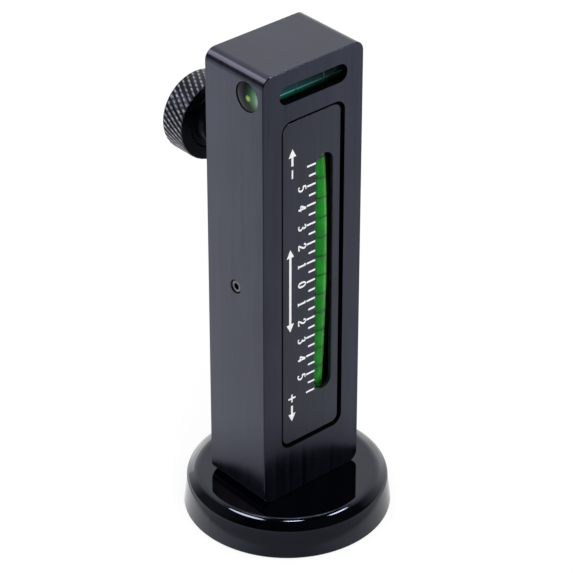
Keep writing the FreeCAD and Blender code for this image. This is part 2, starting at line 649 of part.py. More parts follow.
def rear_plate_screws():
    body = new_body("rear_plate_screws")
    for x, z in plate_screw_places():
        screw = sketch_on(body, "YZ_Plane", (x, REAR_PLATE, z))
        outline(screw, countersunk_profile("0 * dims.fit_gap", "dims.plate_screw_length"))
        revolve(body, screw, "H_Axis")
    for place in plate_screw_places():
        socket = sketch_on(body, "XZ_Plane", ("0", REAR_PLATE, "0"))
        hexagon(socket, "dims.plate_screw_socket", place)
        cut(body, socket, "dims.plate_screw_socket * 0.6", reverse=True)


# ---- vials ----


def bent_sketch(body, x, y, bend, rise="0", angle="0 deg"):
    """A sketch across a bent vial: its x axis is the axis that the vial bends about.

    A positive bend has that axis behind the vial, so the vial's crown faces the front. The crown lies
    rise above the zero mark, and the sketch lies at the zero mark, or turned up from there by the angle.
    """
    sketch = sketch_on(body, "XY_Plane", (x, f"{y} + {bend}", f"{ZERO} + {rise}"))
    if rise != "0" or angle != "0 deg":
        tilt_sketch(sketch, f"{angle} - {signed_span(rise, bend)}")
    return sketch


def signed_span(length, bend):
    """The angle that a length takes on a bend, as an expression; negative for a negative bend."""
    return f"({length}) / ({bend}) * 180 deg / pi"


def span(length, bend):
    return f"abs({signed_span(length, bend)})"


def tilt_sketch(sketch, angle):
    """Turns a bent vial's sketch about the bend's axis, from -Y towards +Z for a positive angle."""
    base = sketch.AttachmentOffset.Base
    sketch.AttachmentOffset = Placement(base, Rotation(Vector(1, 0, 0), -value_of(angle)))
    sketch.setExpression("AttachmentOffset.Rotation.Angle", f"-({angle})")


def bent_vial(name, x, y, size, wall, bend, rise, half, plug, bubble, degrees):
    """Tube, plugs, liquid and graduation rings of a bent vial, which reaches half each way from zero."""
    outer = f"({size} / 2)"
    bore = f"({size} / 2 - {wall})"
    down = ("0", f"-{bend}")
    tube = new_body(f"{name}_vial_tube")
    section = bent_sketch(tube, x, y, bend, rise)
    circle(section, down, outer)
    circle(section, down, bore)
    revolve(tube, section, "H_Axis", span(f"2 * {half}", bend))
    plugs = new_body(f"{name}_vial_plugs")
    for side in ("", "-"):
        section = bent_sketch(plugs, x, y, bend, rise, f"{side}({signed_span(f'{half} - {plug} / 2', bend)})")
        circle(section, down, f"{bore} - dims.fit_gap")
        revolve(plugs, section, "H_Axis", span(plug, bend))
    liquid = new_body(f"{name}_vial_liquid")
    section = bent_sketch(liquid, x, y, bend, rise, f"-({signed_span(f'{bubble} / 2', bend)})")
    circle(section, down, f"{bore} - dims.fit_gap")
    filled = f"2 * {half} - 2 * {plug} - {bubble} - 2 * dims.fit_gap"
    revolve(liquid, section, "H_Axis", span(filled, bend))
    rings = new_body(f"{name}_vial_rings")
    section = bent_sketch(rings, x, y, bend, rise, f"{degrees} * 1 deg")
    circle(section, down, f"{outer} + dims.ring_height")
    circle(section, down, f"{outer} + dims.ring_height / 100")
    ring = revolve(rings, section, "H_Axis", span("dims.ring_width", bend))
    pattern = rings.newObject("PartDesign::PolarPattern", "graduation")
    pattern.Originals = [ring]
    pattern.Axis = (section, ["H_Axis"])
    pattern.setExpression("Angle", f"2 * {degrees} * 1 deg")
    pattern.setExpression("Occurrences", f"2 * {degrees} + 1")
    rings.Tip = pattern
    doc.recompute()


def camber_vial_bed():
    """The cast bed fills the channel behind the vial and follows its bend."""
    body = new_body("camber_vial_bed")
    radius = "(dims.camber_vial_size / 2 + dims.ring_height + dims.channel_gap)"
    side = "(dims.camber_vial_size / 2 + dims.bed_side - dims.channel_gap)"
    rim = "(dims.bed_rim - dims.camber_vial_bend)"
    floor = "(dims.camber_vial_size / 2 + dims.bed_floor - dims.channel_gap - dims.camber_vial_bend)"
    lip = f"sqrt({radius} ^ 2 - dims.bed_rim ^ 2)"
    section = bent_sketch(body, CAMBER_X, CAMBER_Y, "dims.camber_vial_bend", "dims.camber_vial_rise")
    outline(
        section,
        [
            (f"-{side}", rim),
            (f"-{lip}", rim, radius),
            (lip, rim),
            (side, rim),
            (side, floor),
            (f"-{side}", floor),
        ],
    )
    revolve(body, section, "H_Axis", span(f"2 * {CAMBER_HALF}", "dims.camber_vial_bend"))


def cross_vial():
    """Straight moulded vial: closed and domed on the left, plugged on the right."""
    rim = "dims.cross_vial_size / 2"
    bore = f"({rim} - dims.cross_vial_wall)"
    middle = f"({bore} + dims.cross_vial_barrel)"
    start = f"(-{CROSS_RIM} + dims.cross_vial_end)"
    end = f"({CROSS_RIM} - dims.cross_plug)"
    dome_radius = f"(({rim}) ^ 2 + dims.cross_vial_dome ^ 2) / (2 * dims.cross_vial_dome)"
    barrel_radius = (
        f"((({end} - {start}) / 2) ^ 2 + dims.cross_vial_barrel ^ 2) / (2 * dims.cross_vial_barrel)"
    )
    tube = new_body("cross_vial_tube")
    solid = cross_sketch(tube)
    outline(
        solid,
        [
            (f"-{CROSS_RIM} - dims.cross_vial_dome", "0", dome_radius),
            (f"-{CROSS_RIM}", rim),
            (CROSS_RIM, rim),
            (CROSS_RIM, "0"),
        ],
    )
    revolve(tube, solid, "H_Axis")
    hollow = cross_sketch(tube)
    outline(
        hollow,
        [
            (f"{start} - dims.cross_vial_cone", "0"),
            (start, bore, barrel_radius),
            (end, bore),
            (CROSS_RIM, bore),
            (CROSS_RIM, "0"),
        ],
    )
    groove(tube, hollow)
    plug = new_body("cross_vial_plug")
    plug_radius = f"({bore} - dims.fit_gap)"
    plug_dome = f"({plug_radius} ^ 2 + dims.cross_vial_dome ^ 2) / (2 * dims.cross_vial_dome)"
    turned = cross_sketch(plug)
    outline(
        turned,
        [
            (f"{end} + dims.fit_gap", "0"),
            (f"{end} + dims.fit_gap", plug_radius),
            (CROSS_RIM, plug_radius, plug_dome),
            (f"{CROSS_RIM} + dims.cross_vial_dome", "0"),
        ],
    )
    revolve(plug, turned, "H_Axis")
    liquid = new_body("cross_vial_liquid")
    filling = cross_sketch(liquid)
    gap = "dims.fit_gap"
    outline(
        filling,
        [
            (f"{start} - dims.cross_vial_cone + {gap}", "0"),
            (f"{start} + {gap}", f"{bore} - {gap}", barrel_radius),
            (f"{end} - {gap}", f"{bore} - {gap}"),
            (f"{end} - {gap}", "0"),
        ],
    )
    revolve(liquid, filling, "H_Axis")
    bubble = sketch_on(liquid, "YZ_Plane", (f"({start} + {end}) / 2", CROSS_Y, CROSS_Z))
    bubble_floor = f"({middle} - dims.cross_bubble_depth)"
    chord = f"sqrt({middle} ^ 2 - {bubble_floor} ^ 2)"
    outline(
        bubble,
        [
            (f"-{chord}", bubble_floor),
            (chord, bubble_floor),
            (chord, rim),
            (f"-{chord}", rim),
        ],
    )
    cut(liquid, bubble, "dims.cross_bubble_length", both_ways=True)
    rings = new_body("cross_vial_rings")
    for side in ("-", ""):
        place = f"({start} + {end}) / 2 {side or '+'} dims.cross_ring_spacing / 2"
        ring = sketch_on(rings, "YZ_Plane", (place, CROSS_Y, CROSS_Z))
        circle(ring, ("0", "0"), f"{rim} + dims.ring_height")
        circle(ring, ("0", "0"), f"{rim} + dims.ring_height / 100")
        pad(rings, ring, "dims.ring_width", both_ways=True)


def cross_sketch(body):
    """A lengthwise half section of the cross vial."""
    return sketch_on_side(body, CROSS_Y, CROSS_Z)


def sketch_on_side(body, y, z):
    """A sketch facing the front, its x axis along X through the point (y, z)."""
    return sketch_on(body, "XZ_Plane", ("0", y, z))


# ---- tilting carrier ----


def caster_carrier():
    body = new_body("caster_carrier")
    saddle = f"({CASTER_Y} - dims.carrier_saddle)"
    low = f"({ZERO} - dims.caster_vial_half)"
    side_view = sketch_on(body, "YZ_Plane", (CASTER_X, "0", "0"))
    outline(
        side_view,
        [
            (CARRIER_FRONT, low),
            (saddle, low),
            (saddle, CARRIER_STEP),
            (ARM_FACE, CARRIER_STEP),
            (ARM_FACE, ARM_TOP),
            (CARRIER_FRONT, ARM_TOP),
        ],
    )
    pad(body, side_view, "dims.carrier_width", both_ways=True)
    arm = sketch_on(body, "XZ_Plane", ("0", ARM_FACE, "0"))
    outline(
        arm,
        [
            (CASTER_X, f"{SCREW_Z} - dims.arm_half_height"),
            ("dims.arm_reach", f"{SCREW_Z} - dims.arm_half_height"),
            ("dims.arm_reach", ARM_TOP),
            (CASTER_X, ARM_TOP),
        ],
    )
    pad(body, arm, "dims.arm_thickness")
    trough = bent_sketch(body, CASTER_X, CASTER_Y, "(-dims.caster_vial_bend)")
    radius = "dims.caster_vial_size / 2 + dims.ring_height + dims.fit_gap"
    circle(trough, ("0", "dims.caster_vial_bend"), radius)
    groove(body, trough, "H_Axis", span(f"2 * ({CARRIER_STEP} - {ZERO})", "dims.caster_vial_bend"))
    pivot = sketch_on(body, "YZ_Plane", (CASTER_X, "0", "0"))
    circle(pivot, (PIVOT_Y, ZERO), "dims.pin_size / 2 + dims.pin_running_gap")
    cut(body, pivot, "dims.carrier_width * 2", both_ways=True)
    spring_hole = sketch_on(body, "XZ_Plane", ("0", CARRIER_FRONT, "0"))
    circle(spring_hole, (CASTER_X, SPRING_Z), "dims.spring_hole_size / 2")
    cut(body, spring_hole, "dims.spring_carrier_depth")


def carrier_pivot_pin():
    body = new_body("carrier_pivot_pin")
    section = sketch_on(body, "YZ_Plane", (f"{SET_SCREW_END} + dims.fit_gap", "0", "0"))
    circle(section, (PIVOT_Y, ZERO), "dims.pin_size / 2")
    pad(body, section, f"{PIN_END} - {SET_SCREW_END} - dims.fit_gap")
    soften(
        body,
        "PartDesign::Chamfer",
        "dims.pin_size / 10",
        lambda edge: edge.Curve.TypeId == "Part::GeomCircle",
    )


def pivot_set_screw():
    body = new_body("pivot_set_screw")
    section = sketch_on(body, "YZ_Plane", (SET_SCREW_END, "0", "0"))
    circle(section, (PIVOT_Y, ZERO), "dims.set_screw_size / 2")
    pad(body, section, "dims.set_screw_length", reverse=True)
    soften(
        body,
        "PartDesign::Chamfer",
        "dims.set_screw_size / 12",
        lambda edge: edge.Curve.TypeId == "Part::GeomCircle",
    )
    socket = sketch_on(body, "YZ_Plane", (f"-{SIDE} + dims.set_screw_recess", "0", "0"))
    hexagon(socket, "dims.set_screw_socket", (PIVOT_Y, ZERO))
    cut(body, socket, "dims.set_screw_socket", reverse=True)


def return_spring():
    body = new_body("return_spring")
    start = f"({CAVITY_FLOOR} - dims.spring_block_depth + dims.spring_end_gap)"
    end = f"({CARRIER_FRONT} + dims.spring_carrier_depth - dims.spring_end_gap)"
    wire = sketch_on(body, "YZ_Plane", (CASTER_X, start, SPRING_Z))
    circle(wire, ("dims.spring_wire / 2", "dims.spring_mean_size / 2"), "dims.spring_wire / 2")
    helix = body.newObject("PartDesign::AdditiveHelix", "coils")
    helix.Profile = wire
    helix.ReferenceAxis = (wire, ["H_Axis"])
    helix.Mode = "height-turns-angle"
    helix.setExpression("Height", f"{end} - {start} - dims.spring_wire")
    helix.setExpression("Turns", "dims.spring_turns")
    doc.recompute()


# ---- adjusting screw and knob ----


def screw_sketch(body, y):
    """A half section of a piece turned about the adjusting screw's axis, starting at y."""
    return sketch_on(body, "YZ_Plane", ("0", y, SCREW_Z))


def thrust_pad():
    body = new_body("thrust_pad")
    radius = "dims.pad_size / 2"
    rim = f"(dims.pad_dome - sqrt(dims.pad_dome ^ 2 - ({radius}) ^ 2))"
    section = screw_sketch(body, f"{PAD_BACK} - dims.pad_thickness")
    outline(
        section,
        [
            ("0", "0", "dims.pad_dome"),
            (rim, radius),
            ("dims.pad_thickness", radius),
            ("dims.pad_thickness", "dims.pad_spigot_size / 2"),
            ("dims.pad_thickness + dims.pad_spigot_length", "dims.pad_spigot_size / 2"),
            ("dims.pad_thickness + dims.pad_spigot_length", "0"),
        ],
    )
    revolve(body, section, "H_Axis")


def adjust_screw():
    body = new_body("adjust_screw")
    start = f"({PAD_BACK} + dims.pad_contact_gap)"
    end = f"({STUD_END} - {start})"
    hole = "dims.pad_spigot_length"
    section = screw_sketch(body, start)
    outline(
        section,
        [
            ("0", "dims.pad_spigot_size / 2 + dims.pad_contact_gap"),
            ("0", "dims.stud_size / 2"),
            (end, "dims.stud_size / 2"),
            (end, "0"),
            (hole, "0"),
            (hole, "dims.pad_spigot_size / 2 + dims.pad_contact_gap"),
        ],
    )
    revolve(body, section, "H_Axis")
    ends = (value_of(start), value_of(STUD_END))
    soften(
        body,
        "PartDesign::Chamfer",
        "dims.stud_size / 15",
        lambda edge: edge.Curve.TypeId == "Part::GeomCircle"
        and abs(edge.Curve.Radius - value_of("dims.stud_size / 2")) < 1e-4
        and (lies_at(edge, 1, ends[0]) or lies_at(edge, 1, ends[1])),
    )


def friction_groove():
    """Groove of the bush: its start behind the caster plate's face, its width and its radius."""
    width = "(dims.friction_ring_section + 2 * dims.friction_ring_gap)"
    start = f"(dims.bush_flange_thickness - dims.friction_groove_inset - {width})"
    radius = f"(dims.stud_size / 2 + {width})"
    return start, width, radius


def thread_bush():
    body = new_body("thread_bush")
    bore = "(dims.stud_size / 2 + dims.stud_running_gap)"
    inner = "(-dims.rear_plate_thickness - dims.bush_inside)"
    groove_start, groove_width, groove_radius = friction_groove()
    section = screw_sketch(body, REAR_PLATE)
    outline(
        section,
        [
            (inner, bore),
            (inner, "dims.bush_size / 2"),
            ("dims.fit_gap", "dims.bush_size / 2"),
            ("dims.fit_gap", "dims.bush_flange_size / 2"),
            ("dims.bush_flange_thickness", "dims.bush_flange_size / 2"),
            ("dims.bush_flange_thickness", bore),
            (f"{groove_start} + {groove_width}", bore),
            (f"{groove_start} + {groove_width}", groove_radius),
            (groove_start, groove_radius),
            (groove_start, bore),
        ],
    )
    revolve(body, section, "H_Axis")
    rim = value_of(f"{REAR_PLATE} + dims.bush_flange_thickness")
    soften(
        body,
        "PartDesign::Chamfer",
        "dims.bush_flange_thickness / 5",
        lambda edge: lies_at(edge, 1, rim) and edge.BoundBox.DiagonalLength > value_of("dims.bush_size"),
    )


def friction_ring():
    body = new_body("friction_ring")
    groove_start, groove_width, _ = friction_groove()
    section = screw_sketch(body, REAR_PLATE)
    middle = "dims.stud_size / 2 + dims.friction_ring_gap + dims.friction_ring_section / 2"
    circle(section, (f"{groove_start} + {groove_width} / 2", middle), "dims.friction_ring_section / 2")
    revolve(body, section, "H_Axis")


def adjust_knob():
    body = new_body("adjust_knob")
    neck = "(dims.knob_neck_size / 2)"
    head = "(dims.knob_size / 2)"
    edge = "dims.knob_chamfer"
    face = f"({KNOB_FACE} - {NECK_END})"
    end = f"({KNOB_END} - {NECK_END})"
    ring = "(dims.knob_groove_size / 2)"
    bore = "(dims.stud_size / 2 + dims.fit_gap)"
    bore_end = f"({STUD_END} - {NECK_END} + dims.fit_gap)"
    dish = "(dims.knob_dish_size / 2)"
    section = screw_sketch(body, NECK_END)
    outline(
        section,
        [
            ("0", bore),
            ("0", f"{neck} - {edge}"),
            (edge, neck),
            (f"{face} - dims.knob_root", neck, "-dims.knob_root"),
            (face, f"{neck} + dims.knob_root"),
            (face, f"{ring} - dims.knob_groove"),
            (f"{face} + dims.knob_groove", f"{ring} - dims.knob_groove / 2"),
            (face, ring),
            (face, f"{head} - {edge}"),
            (f"{face} + {edge}", head),
            (f"{end} - {edge}", head),
            (end, f"{head} - {edge}"),
            (end, dish),
            (f"{end} - dims.knob_dish", f"{dish} - dims.knob_dish"),
            (f"{end} - dims.knob_dish", "0"),
            (bore_end, "0"),
            (bore_end, bore),
        ],
    )
    revolve(body, section, "H_Axis")
    screw_hole = sketch_on(body, "XY_Plane", ("0", "0", SCREW_Z))
    circle(screw_hole, ("0", f"{NECK_END} + dims.knob_screw_inset"), "dims.knob_screw_size / 2 + dims.fit_gap")
    cut(body, screw_hole, "dims.knob_neck_size", reverse=True)


def knob_set_screw():
    body = new_body("knob_set_screw")
    place = ("0", f"{NECK_END} + dims.knob_screw_inset")
    foot = f"({SCREW_Z} + dims.stud_size / 2 + dims.fit_gap)"
    top = f"({SCREW_Z} + dims.knob_neck_size / 2 - dims.knob_screw_recess)"
    section = sketch_on(body, "XY_Plane", ("0", "0", foot))
    circle(section, place, "dims.knob_screw_size / 2")
    pad(body, section, f"{top} - {foot}")
    socket = sketch_on(body, "XY_Plane", ("0", "0", top))
    hexagon(socket, "dims.knob_screw_socket", place)
    cut(body, socket, "dims.knob_screw_socket")


# ---- magnet base ----


def ring_outline(sketch, inner, outer, low, high):
    outline(sketch, [(inner, low), (outer, low), (outer, high), (inner, high)])


def magnet_cup():
    body = new_body("magnet_cup")
    foot = "(dims.base_foot_size / 2)"
    shoulder = "(dims.base_shoulder_size / 2)"
    well = "(dims.cup_well_size / 2)"
    hole = "(dims.bolt_size / 2 + dims.bolt_clearance)"
    # the slope starts level and meets the shoulder's arc without a corner
    drop = "dims.base_crown_drop"
    crown_radius = f"((dims.base_crown ^ 2 + {drop} ^ 2) / (2 * {drop}))"
    lean = f"(dims.base_crown / {crown_radius})"
    crown = f"({shoulder} - dims.base_round * (1 - {lean}))"
    wall_top = f"(dims.base_height - {drop} - dims.base_round * sqrt(1 - {lean} ^ 2))"
    section = sketch_on(body, "XZ_Plane")
    outline(
        section,
        [
            (well, "0"),
            (f"{foot} - dims.base_foot_edge", "0"),
            (foot, "dims.base_foot_edge"),
            (shoulder, wall_top, "-dims.base_round"),
            (crown, f"dims.base_height - {drop}", f"-{crown_radius}"),
            (f"{crown} - dims.base_crown", "dims.base_height"),
            (hole, "dims.base_height"),
            (hole, WELL_TOP),
            (well, WELL_TOP),
        ],
    )
    revolve(body, section)


def ring_magnet():
    body = new_body("ring_magnet")
    section = sketch_on(body, "XZ_Plane")
    ring_outline(
        section,
        "dims.magnet_bore / 2",
        "dims.magnet_size / 2",
        "dims.magnet_recess",
        f"{WELL_TOP} - dims.fit_gap",
    )
    revolve(body, section)


def pole_piece():
    body = new_body("pole_piece")
    section = sketch_on(body, "XZ_Plane")
    ring_outline(section, "dims.pole_bore / 2", "dims.pole_size / 2", "0", f"{WELL_TOP} - dims.fit_gap")
    revolve(body, section)
    soften(
        body,
        "PartDesign::Chamfer",
        "dims.base_foot_edge",
        lambda edge: lies_at(edge, 2, 0.0),
    )


def resin_fill():
    """Resin on both sides of the ring magnet."""
    body = new_body("resin_fill")
    gap = "dims.fit_gap"
    rings = [
        (f"dims.pole_size / 2 + {gap}", f"dims.magnet_bore / 2 - {gap}"),
        (f"dims.magnet_size / 2 + {gap}", f"dims.cup_well_size / 2 - {gap}"),
    ]
    for inner, outer in rings:
        section = sketch_on(body, "XZ_Plane")
        ring_outline(section, inner, outer, "dims.resin_recess", f"{WELL_TOP} - {gap}")
        revolve(body, section)


def base_bolt():
    body = new_body("base_bolt")
    head = "(dims.bolt_head_size / 2)"
    shank = "(dims.bolt_size / 2)"
    seat = f"({WASHER_FOOT} - dims.fit_gap)"
    low = f"({seat} - dims.bolt_head_height)"
    tip = f"({seat} + dims.bolt_length)"
    edge = "(dims.bolt_size / 12)"
    section = sketch_on(body, "XZ_Plane")
    outline(
        section,
        [
            ("0", low),
            (f"{head} - {edge}", low),
            (head, f"{low} + {edge}"),
            (head, seat),
            (shank, seat),
            (shank, f"{tip} - {edge}"),
            (f"{shank} - {edge}", tip),
            ("0", tip),
        ],
    )
    revolve(body, section)
    socket = sketch_on(body, "XY_Plane", ("0", "0", low))
    hexagon(socket, "dims.bolt_socket")
    cut(body, socket, "dims.bolt_head_height / 2", reverse=True)


def lock_washer():
    body = new_body("lock_washer")
    section = sketch_on(body, "XZ_Plane")
    ring_outline(
        section,
        "dims.bolt_size / 2 + dims.bolt_clearance / 2",
        "dims.washer_size / 2",
        WASHER_FOOT,
        f"{WELL_TOP} - dims.fit_gap",
    )
    revolve(body, section)
    split = sketch_on(body, "XY_Plane", ("0", "0", WASHER_FOOT))
    half = "dims.washer_split / 2"
    outline(
        split,
        [
            ("0", f"-{half}"),
            ("dims.washer_size", f"-{half}"),
            ("dims.washer_size", half),
            ("0", half),
        ],
    )
    cut(body, split, "dims.washer_thickness", reverse=True)


def check_document():
    """Stops if an object failed or a sub-part is empty or broken."""
    doc.recompute()
    for item in doc.Objects:
        if "Invalid" in item.State or "Error" in item.State:
            raise ValueError(f"{item.Label}: {item.State}")
    for part in subparts:
        if part.Shape.isNull() or not part.Shape.isValid() or not part.Shape.Solids:
            raise ValueError(f"{part.Label}: no valid solid")


body_block()
camber_scale_plate()
bent_vial(
    "camber",
    CAMBER_X,
    CAMBER_Y,
    "dims.camber_vial_size",
    "dims.camber_vial_wall",
    "dims.camber_vial_bend",
    "dims.camber_vial_rise",
    CAMBER_HALF,
    "dims.camber_plug",
    "dims.camber_bubble",
    "dims.camber_degrees",
)
camber_vial_bed()
cross_vial()
caster_scale_plate()
rear_plate_screws()
bent_vial(
    "caster",
    CASTER_X,
    CASTER_Y,
    "dims.caster_vial_size",
    "dims.caster_vial_wall",
    "(-dims.caster_vial_bend)",
    "0",
    "dims.caster_vial_half",
    "dims.caster_plug",
    "dims.caster_bubble",
    "dims.caster_degrees",
)
caster_carrier()
carrier_pivot_pin()
pivot_set_screw()
return_spring()
thrust_pad()
adjust_screw()
thread_bush()
friction_ring()
adjust_knob()
knob_set_screw()
magnet_cup()
ring_magnet()
pole_piece()
resin_fill()
base_bolt()
lock_washer()
check_document()

os.makedirs("parts", exist_ok=True)
for part in subparts:
    part.Shape.exportStep(f"parts/{part.Label}.step")
    print(f"{part.Label:22s} solids {len(part.Shape.Solids):2d}  volume {part.Shape.Volume:10.2f} mm3")
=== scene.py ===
# %% [markdown]
# # A camber and caster gauge
#
# The gauge is a black anodised block on a round magnet. A bent spirit level lies behind a scale
# plate in its front, a second one behind a plate in its back, and a short straight one lies across
# its head. A knurled knob on the back tilts the holder of the second level.
#
# The shapes were made in CAD and come in as a fixed frame. This lesson gives them their finishes,
# makes the knurl, the thread and the printed scales, and lights the result. All lengths are in
# metres, so the lesson writes `29.5 * MM` for 29.5 mm.

# %% Load the frame
import math

import bmesh
import bpy
from mathutils import Matrix, Vector


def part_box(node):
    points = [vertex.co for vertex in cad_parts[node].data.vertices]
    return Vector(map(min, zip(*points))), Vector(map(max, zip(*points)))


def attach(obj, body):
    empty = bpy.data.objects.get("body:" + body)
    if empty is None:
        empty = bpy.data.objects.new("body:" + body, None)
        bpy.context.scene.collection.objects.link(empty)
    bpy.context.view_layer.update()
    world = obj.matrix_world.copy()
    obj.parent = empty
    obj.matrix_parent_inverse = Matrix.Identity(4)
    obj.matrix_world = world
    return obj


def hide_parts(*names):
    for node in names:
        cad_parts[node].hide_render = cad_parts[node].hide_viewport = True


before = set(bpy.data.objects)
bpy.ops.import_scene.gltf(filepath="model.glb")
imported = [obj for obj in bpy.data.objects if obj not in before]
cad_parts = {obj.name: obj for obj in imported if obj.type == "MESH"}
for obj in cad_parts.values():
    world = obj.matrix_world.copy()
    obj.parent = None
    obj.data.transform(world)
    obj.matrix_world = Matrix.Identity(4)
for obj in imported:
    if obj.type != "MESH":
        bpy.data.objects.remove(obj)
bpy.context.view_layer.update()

MM = 0.001

# %% [markdown]
# The places that the new pieces need are read from the frame: the faces of the two scale plates,
# the zero mark, which is level with the screw that the carrier tilts on, and the knob's axis.

# %% Read the places from the frame
def middle(node):
    low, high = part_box(node)
    return (low + high) / 2


zero_height = middle("pivot_set_screw").z
knob_axis = middle("adjust_knob").z
front_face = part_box("camber_scale_plate")[0].y
rear_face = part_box("caster_scale_plate")[1].y
print("zero mark at", round(zero_height / MM, 2), "mm")
print("knob axis at", round(knob_axis / MM, 2), "mm")

# %% [markdown]
# ## The camera
#
# A long lens, far away, keeps the upright edges nearly parallel, as a catalogue picture does. The
# camera's place is worked out from two angles round the gauge, its distance and the point it looks
# at. A track quaternion then turns it towards that point.

# %% Set up the camera
def seen_from(bearing, height):
    """The direction from the gauge to a camera or a lamp, from two angles in radians."""
    level = math.cos(height)
    return Vector((math.sin(bearing) * level, -math.cos(bearing) * level, math.sin(height)))


azimuth, elevation, roll = (math.radians(a) for a in (-41.22, 32.41, 0.04))
looked_at = Vector((1.01, 1.52, 73.31)) * MM
camera_distance, long_lens, sensor = 801.1 * MM, 175.1, 36
backwards = seen_from(azimuth, elevation)
camera = bpy.data.objects.new("catalogue_camera", bpy.data.cameras.new("catalogue_camera"))
bpy.context.scene.collection.objects.link(camera)
camera.data.sensor_width, camera.data.lens = sensor, long_lens
camera.data.clip_start, camera.data.clip_end = 0.01, 20
camera.location = looked_at + camera_distance * backwards
turned = (-backwards).to_track_quat("-Z", "Y").to_matrix() @ Matrix.Rotation(roll, 3, "Z")
camera.rotation_euler = turned.to_euler()
bpy.context.scene.camera = camera
bpy.context.scene.view_settings.view_transform = "Standard"
print("camera at", tuple(round(v, 3) for v in camera.location))

# %% [markdown]
# ## Nodes in short
#
# Every finish below is a Principled shader with a few pattern nodes in front of it, and the
# repeated shapes are Geometry Nodes trees. Both are made of the same kinds of node, so small
# helpers do the wiring: `feed` joins a socket to another or sets its number, `add_node` adds a node
# and feeds it, and `maths` adds one Math node.

# %% Helpers for node trees
def feed(tree, value, socket):
    if isinstance(value, bpy.types.NodeSocket):
        tree.links.new(value, socket)
    else:
        socket.default_value = value


def add_node(tree, kind, settings=None, **inputs):
    made = tree.nodes.new(kind)
    for name, value in (settings or {}).items():
        setattr(made, name, value)
    for name, value in inputs.items():
        feed(tree, value, made.inputs[name.replace("_", " ")])
    return made


def maths(tree, operation, *values):
    made = add_node(tree, "ShaderNodeMath", {"operation": operation})
    for value, socket in zip(values, made.inputs):
        feed(tree, value, socket)
    return made.outputs[0]


# %% [markdown]
# Some sums come up again and again: a number between two others, a product of several, the distance
# from an axis, the distance along a direction. Each gets a helper too, and so do a mix of two
# colours and a ramp of several.

# %% Helpers for sums and mixtures
def blend(tree, amount, first, second):
    """The first number where amount is 0, the second where it is 1."""
    return maths(tree, "MULTIPLY_ADD", amount, maths(tree, "SUBTRACT", second, first), first)


def product(tree, first, *others):
    for other in others:
        first = maths(tree, "MULTIPLY", first, other)
    return first


def long_side(tree, across, up):
    """The long side of a right triangle, which is how far a place is from an axis."""
    squares = [maths(tree, "MULTIPLY", side, side) for side in (across, up)]
    return maths(tree, "SQRT", maths(tree, "ADD", *squares))


def distance_along(tree, place, direction):
    made = add_node(tree, "ShaderNodeVectorMath", {"operation": "DOT_PRODUCT"}, Vector=place)
    made.inputs[1].default_value = direction
    return made.outputs["Value"]


def scale_by(tree, vector, amount):
    made = add_node(tree, "ShaderNodeVectorMath", {"operation": "SCALE"}, Vector=vector)
    feed(tree, amount, made.inputs["Scale"])
    return made.outputs[0]


def mixed(tree, amount, first, second, kind="RGBA"):
    """Two colours, or with VECTOR two directions: the first where amount is 0."""
    mix = add_node(tree, "ShaderNodeMix", {"data_type": kind})
    feed(tree, amount, mix.inputs[0])
    ends = [socket for socket in mix.inputs if socket.type == kind][-2:]
    for value, socket in zip((first, second), ends):
        feed(tree, value, socket)
    return next(socket for socket in mix.outputs if socket.type == kind)


def colour_ramp(tree, amount, stops):
    """The colours at the stops, from 0 to 1, looked up by amount."""
    made = add_node(tree, "ShaderNodeValToRGB", Fac=amount)
    elements = made.color_ramp.elements
    for stop, _ in stops[2:]:
        elements.new(stop)
    for element, (stop, colour) in zip(elements, stops):
        element.position, element.color = stop, (*colour, 1)
    return made.outputs[0]


# %% [markdown]
# A finish starts from its plain numbers, which stay on the shader's own sockets. A pattern is noise
# in the piece's own coordinates: its size is given in millimetres along X, Y and Z, so a long size
# along one axis gives brush marks along it. `spread` turns the noise's middle part into 0 to 1.

# %% Helpers for finishes
def start_finish(name, colour, roughness, **sockets):
    finish = bpy.data.materials.new(name)
    finish.use_nodes = True
    shader = finish.node_tree.nodes["Principled BSDF"]
    shader.inputs["Base Color"].default_value = (*colour, 1)
    shader.inputs["Roughness"].default_value = roughness
    for socket, value in sockets.items():
        shader.inputs[socket.replace("_", " ")].default_value = value
    return finish


def shader_of(finish):
    return finish.node_tree.nodes["Principled BSDF"]


def object_place(tree):
    """The X, Y and Z of every spot on a piece."""
    place = add_node(tree, "ShaderNodeTexCoord").outputs["Object"]
    return add_node(tree, "ShaderNodeSeparateXYZ", Vector=place).outputs


def noise(finish, sizes, detail=3.0, middle_part=(0.3, 0.7)):
    tree = finish.node_tree
    place = add_node(tree, "ShaderNodeTexCoord").outputs["Object"]
    fineness = [1 / (size * MM) for size in sizes]
    fitted = add_node(tree, "ShaderNodeMapping", Vector=place, Scale=fineness)
    grain = add_node(tree, "ShaderNodeTexNoise", Vector=fitted.outputs[0], Scale=1.0, Detail=detail)
    return spread(finish, grain.outputs[0], *middle_part)


def spread(finish, value, low, high, to_low=0.0, to_high=1.0):
    ranged = add_node(finish.node_tree, "ShaderNodeMapRange")
    for socket, number in zip(ranged.inputs, (value, low, high, to_low, to_high)):
        feed(finish.node_tree, number, socket)
    return ranged.outputs[0]


def tint(finish, amount, dark, light, socket="Base Color"):
    colour = mixed(finish.node_tree, amount, (*dark, 1), (*light, 1))
    finish.node_tree.links.new(colour, shader_of(finish).inputs[socket])


def vary_gloss(finish, amount, smooth, rough):
    value = spread(finish, amount, 0.0, 1.0, smooth, rough)
    finish.node_tree.links.new(value, shader_of(finish).inputs["Roughness"])


def emboss(finish, height, depth, strength=1.0):
    bump = add_node(
        finish.node_tree, "ShaderNodeBump", Height=height, Distance=depth * MM, Strength=strength
    )
    finish.node_tree.links.new(bump.outputs[0], shader_of(finish).inputs["Normal"])


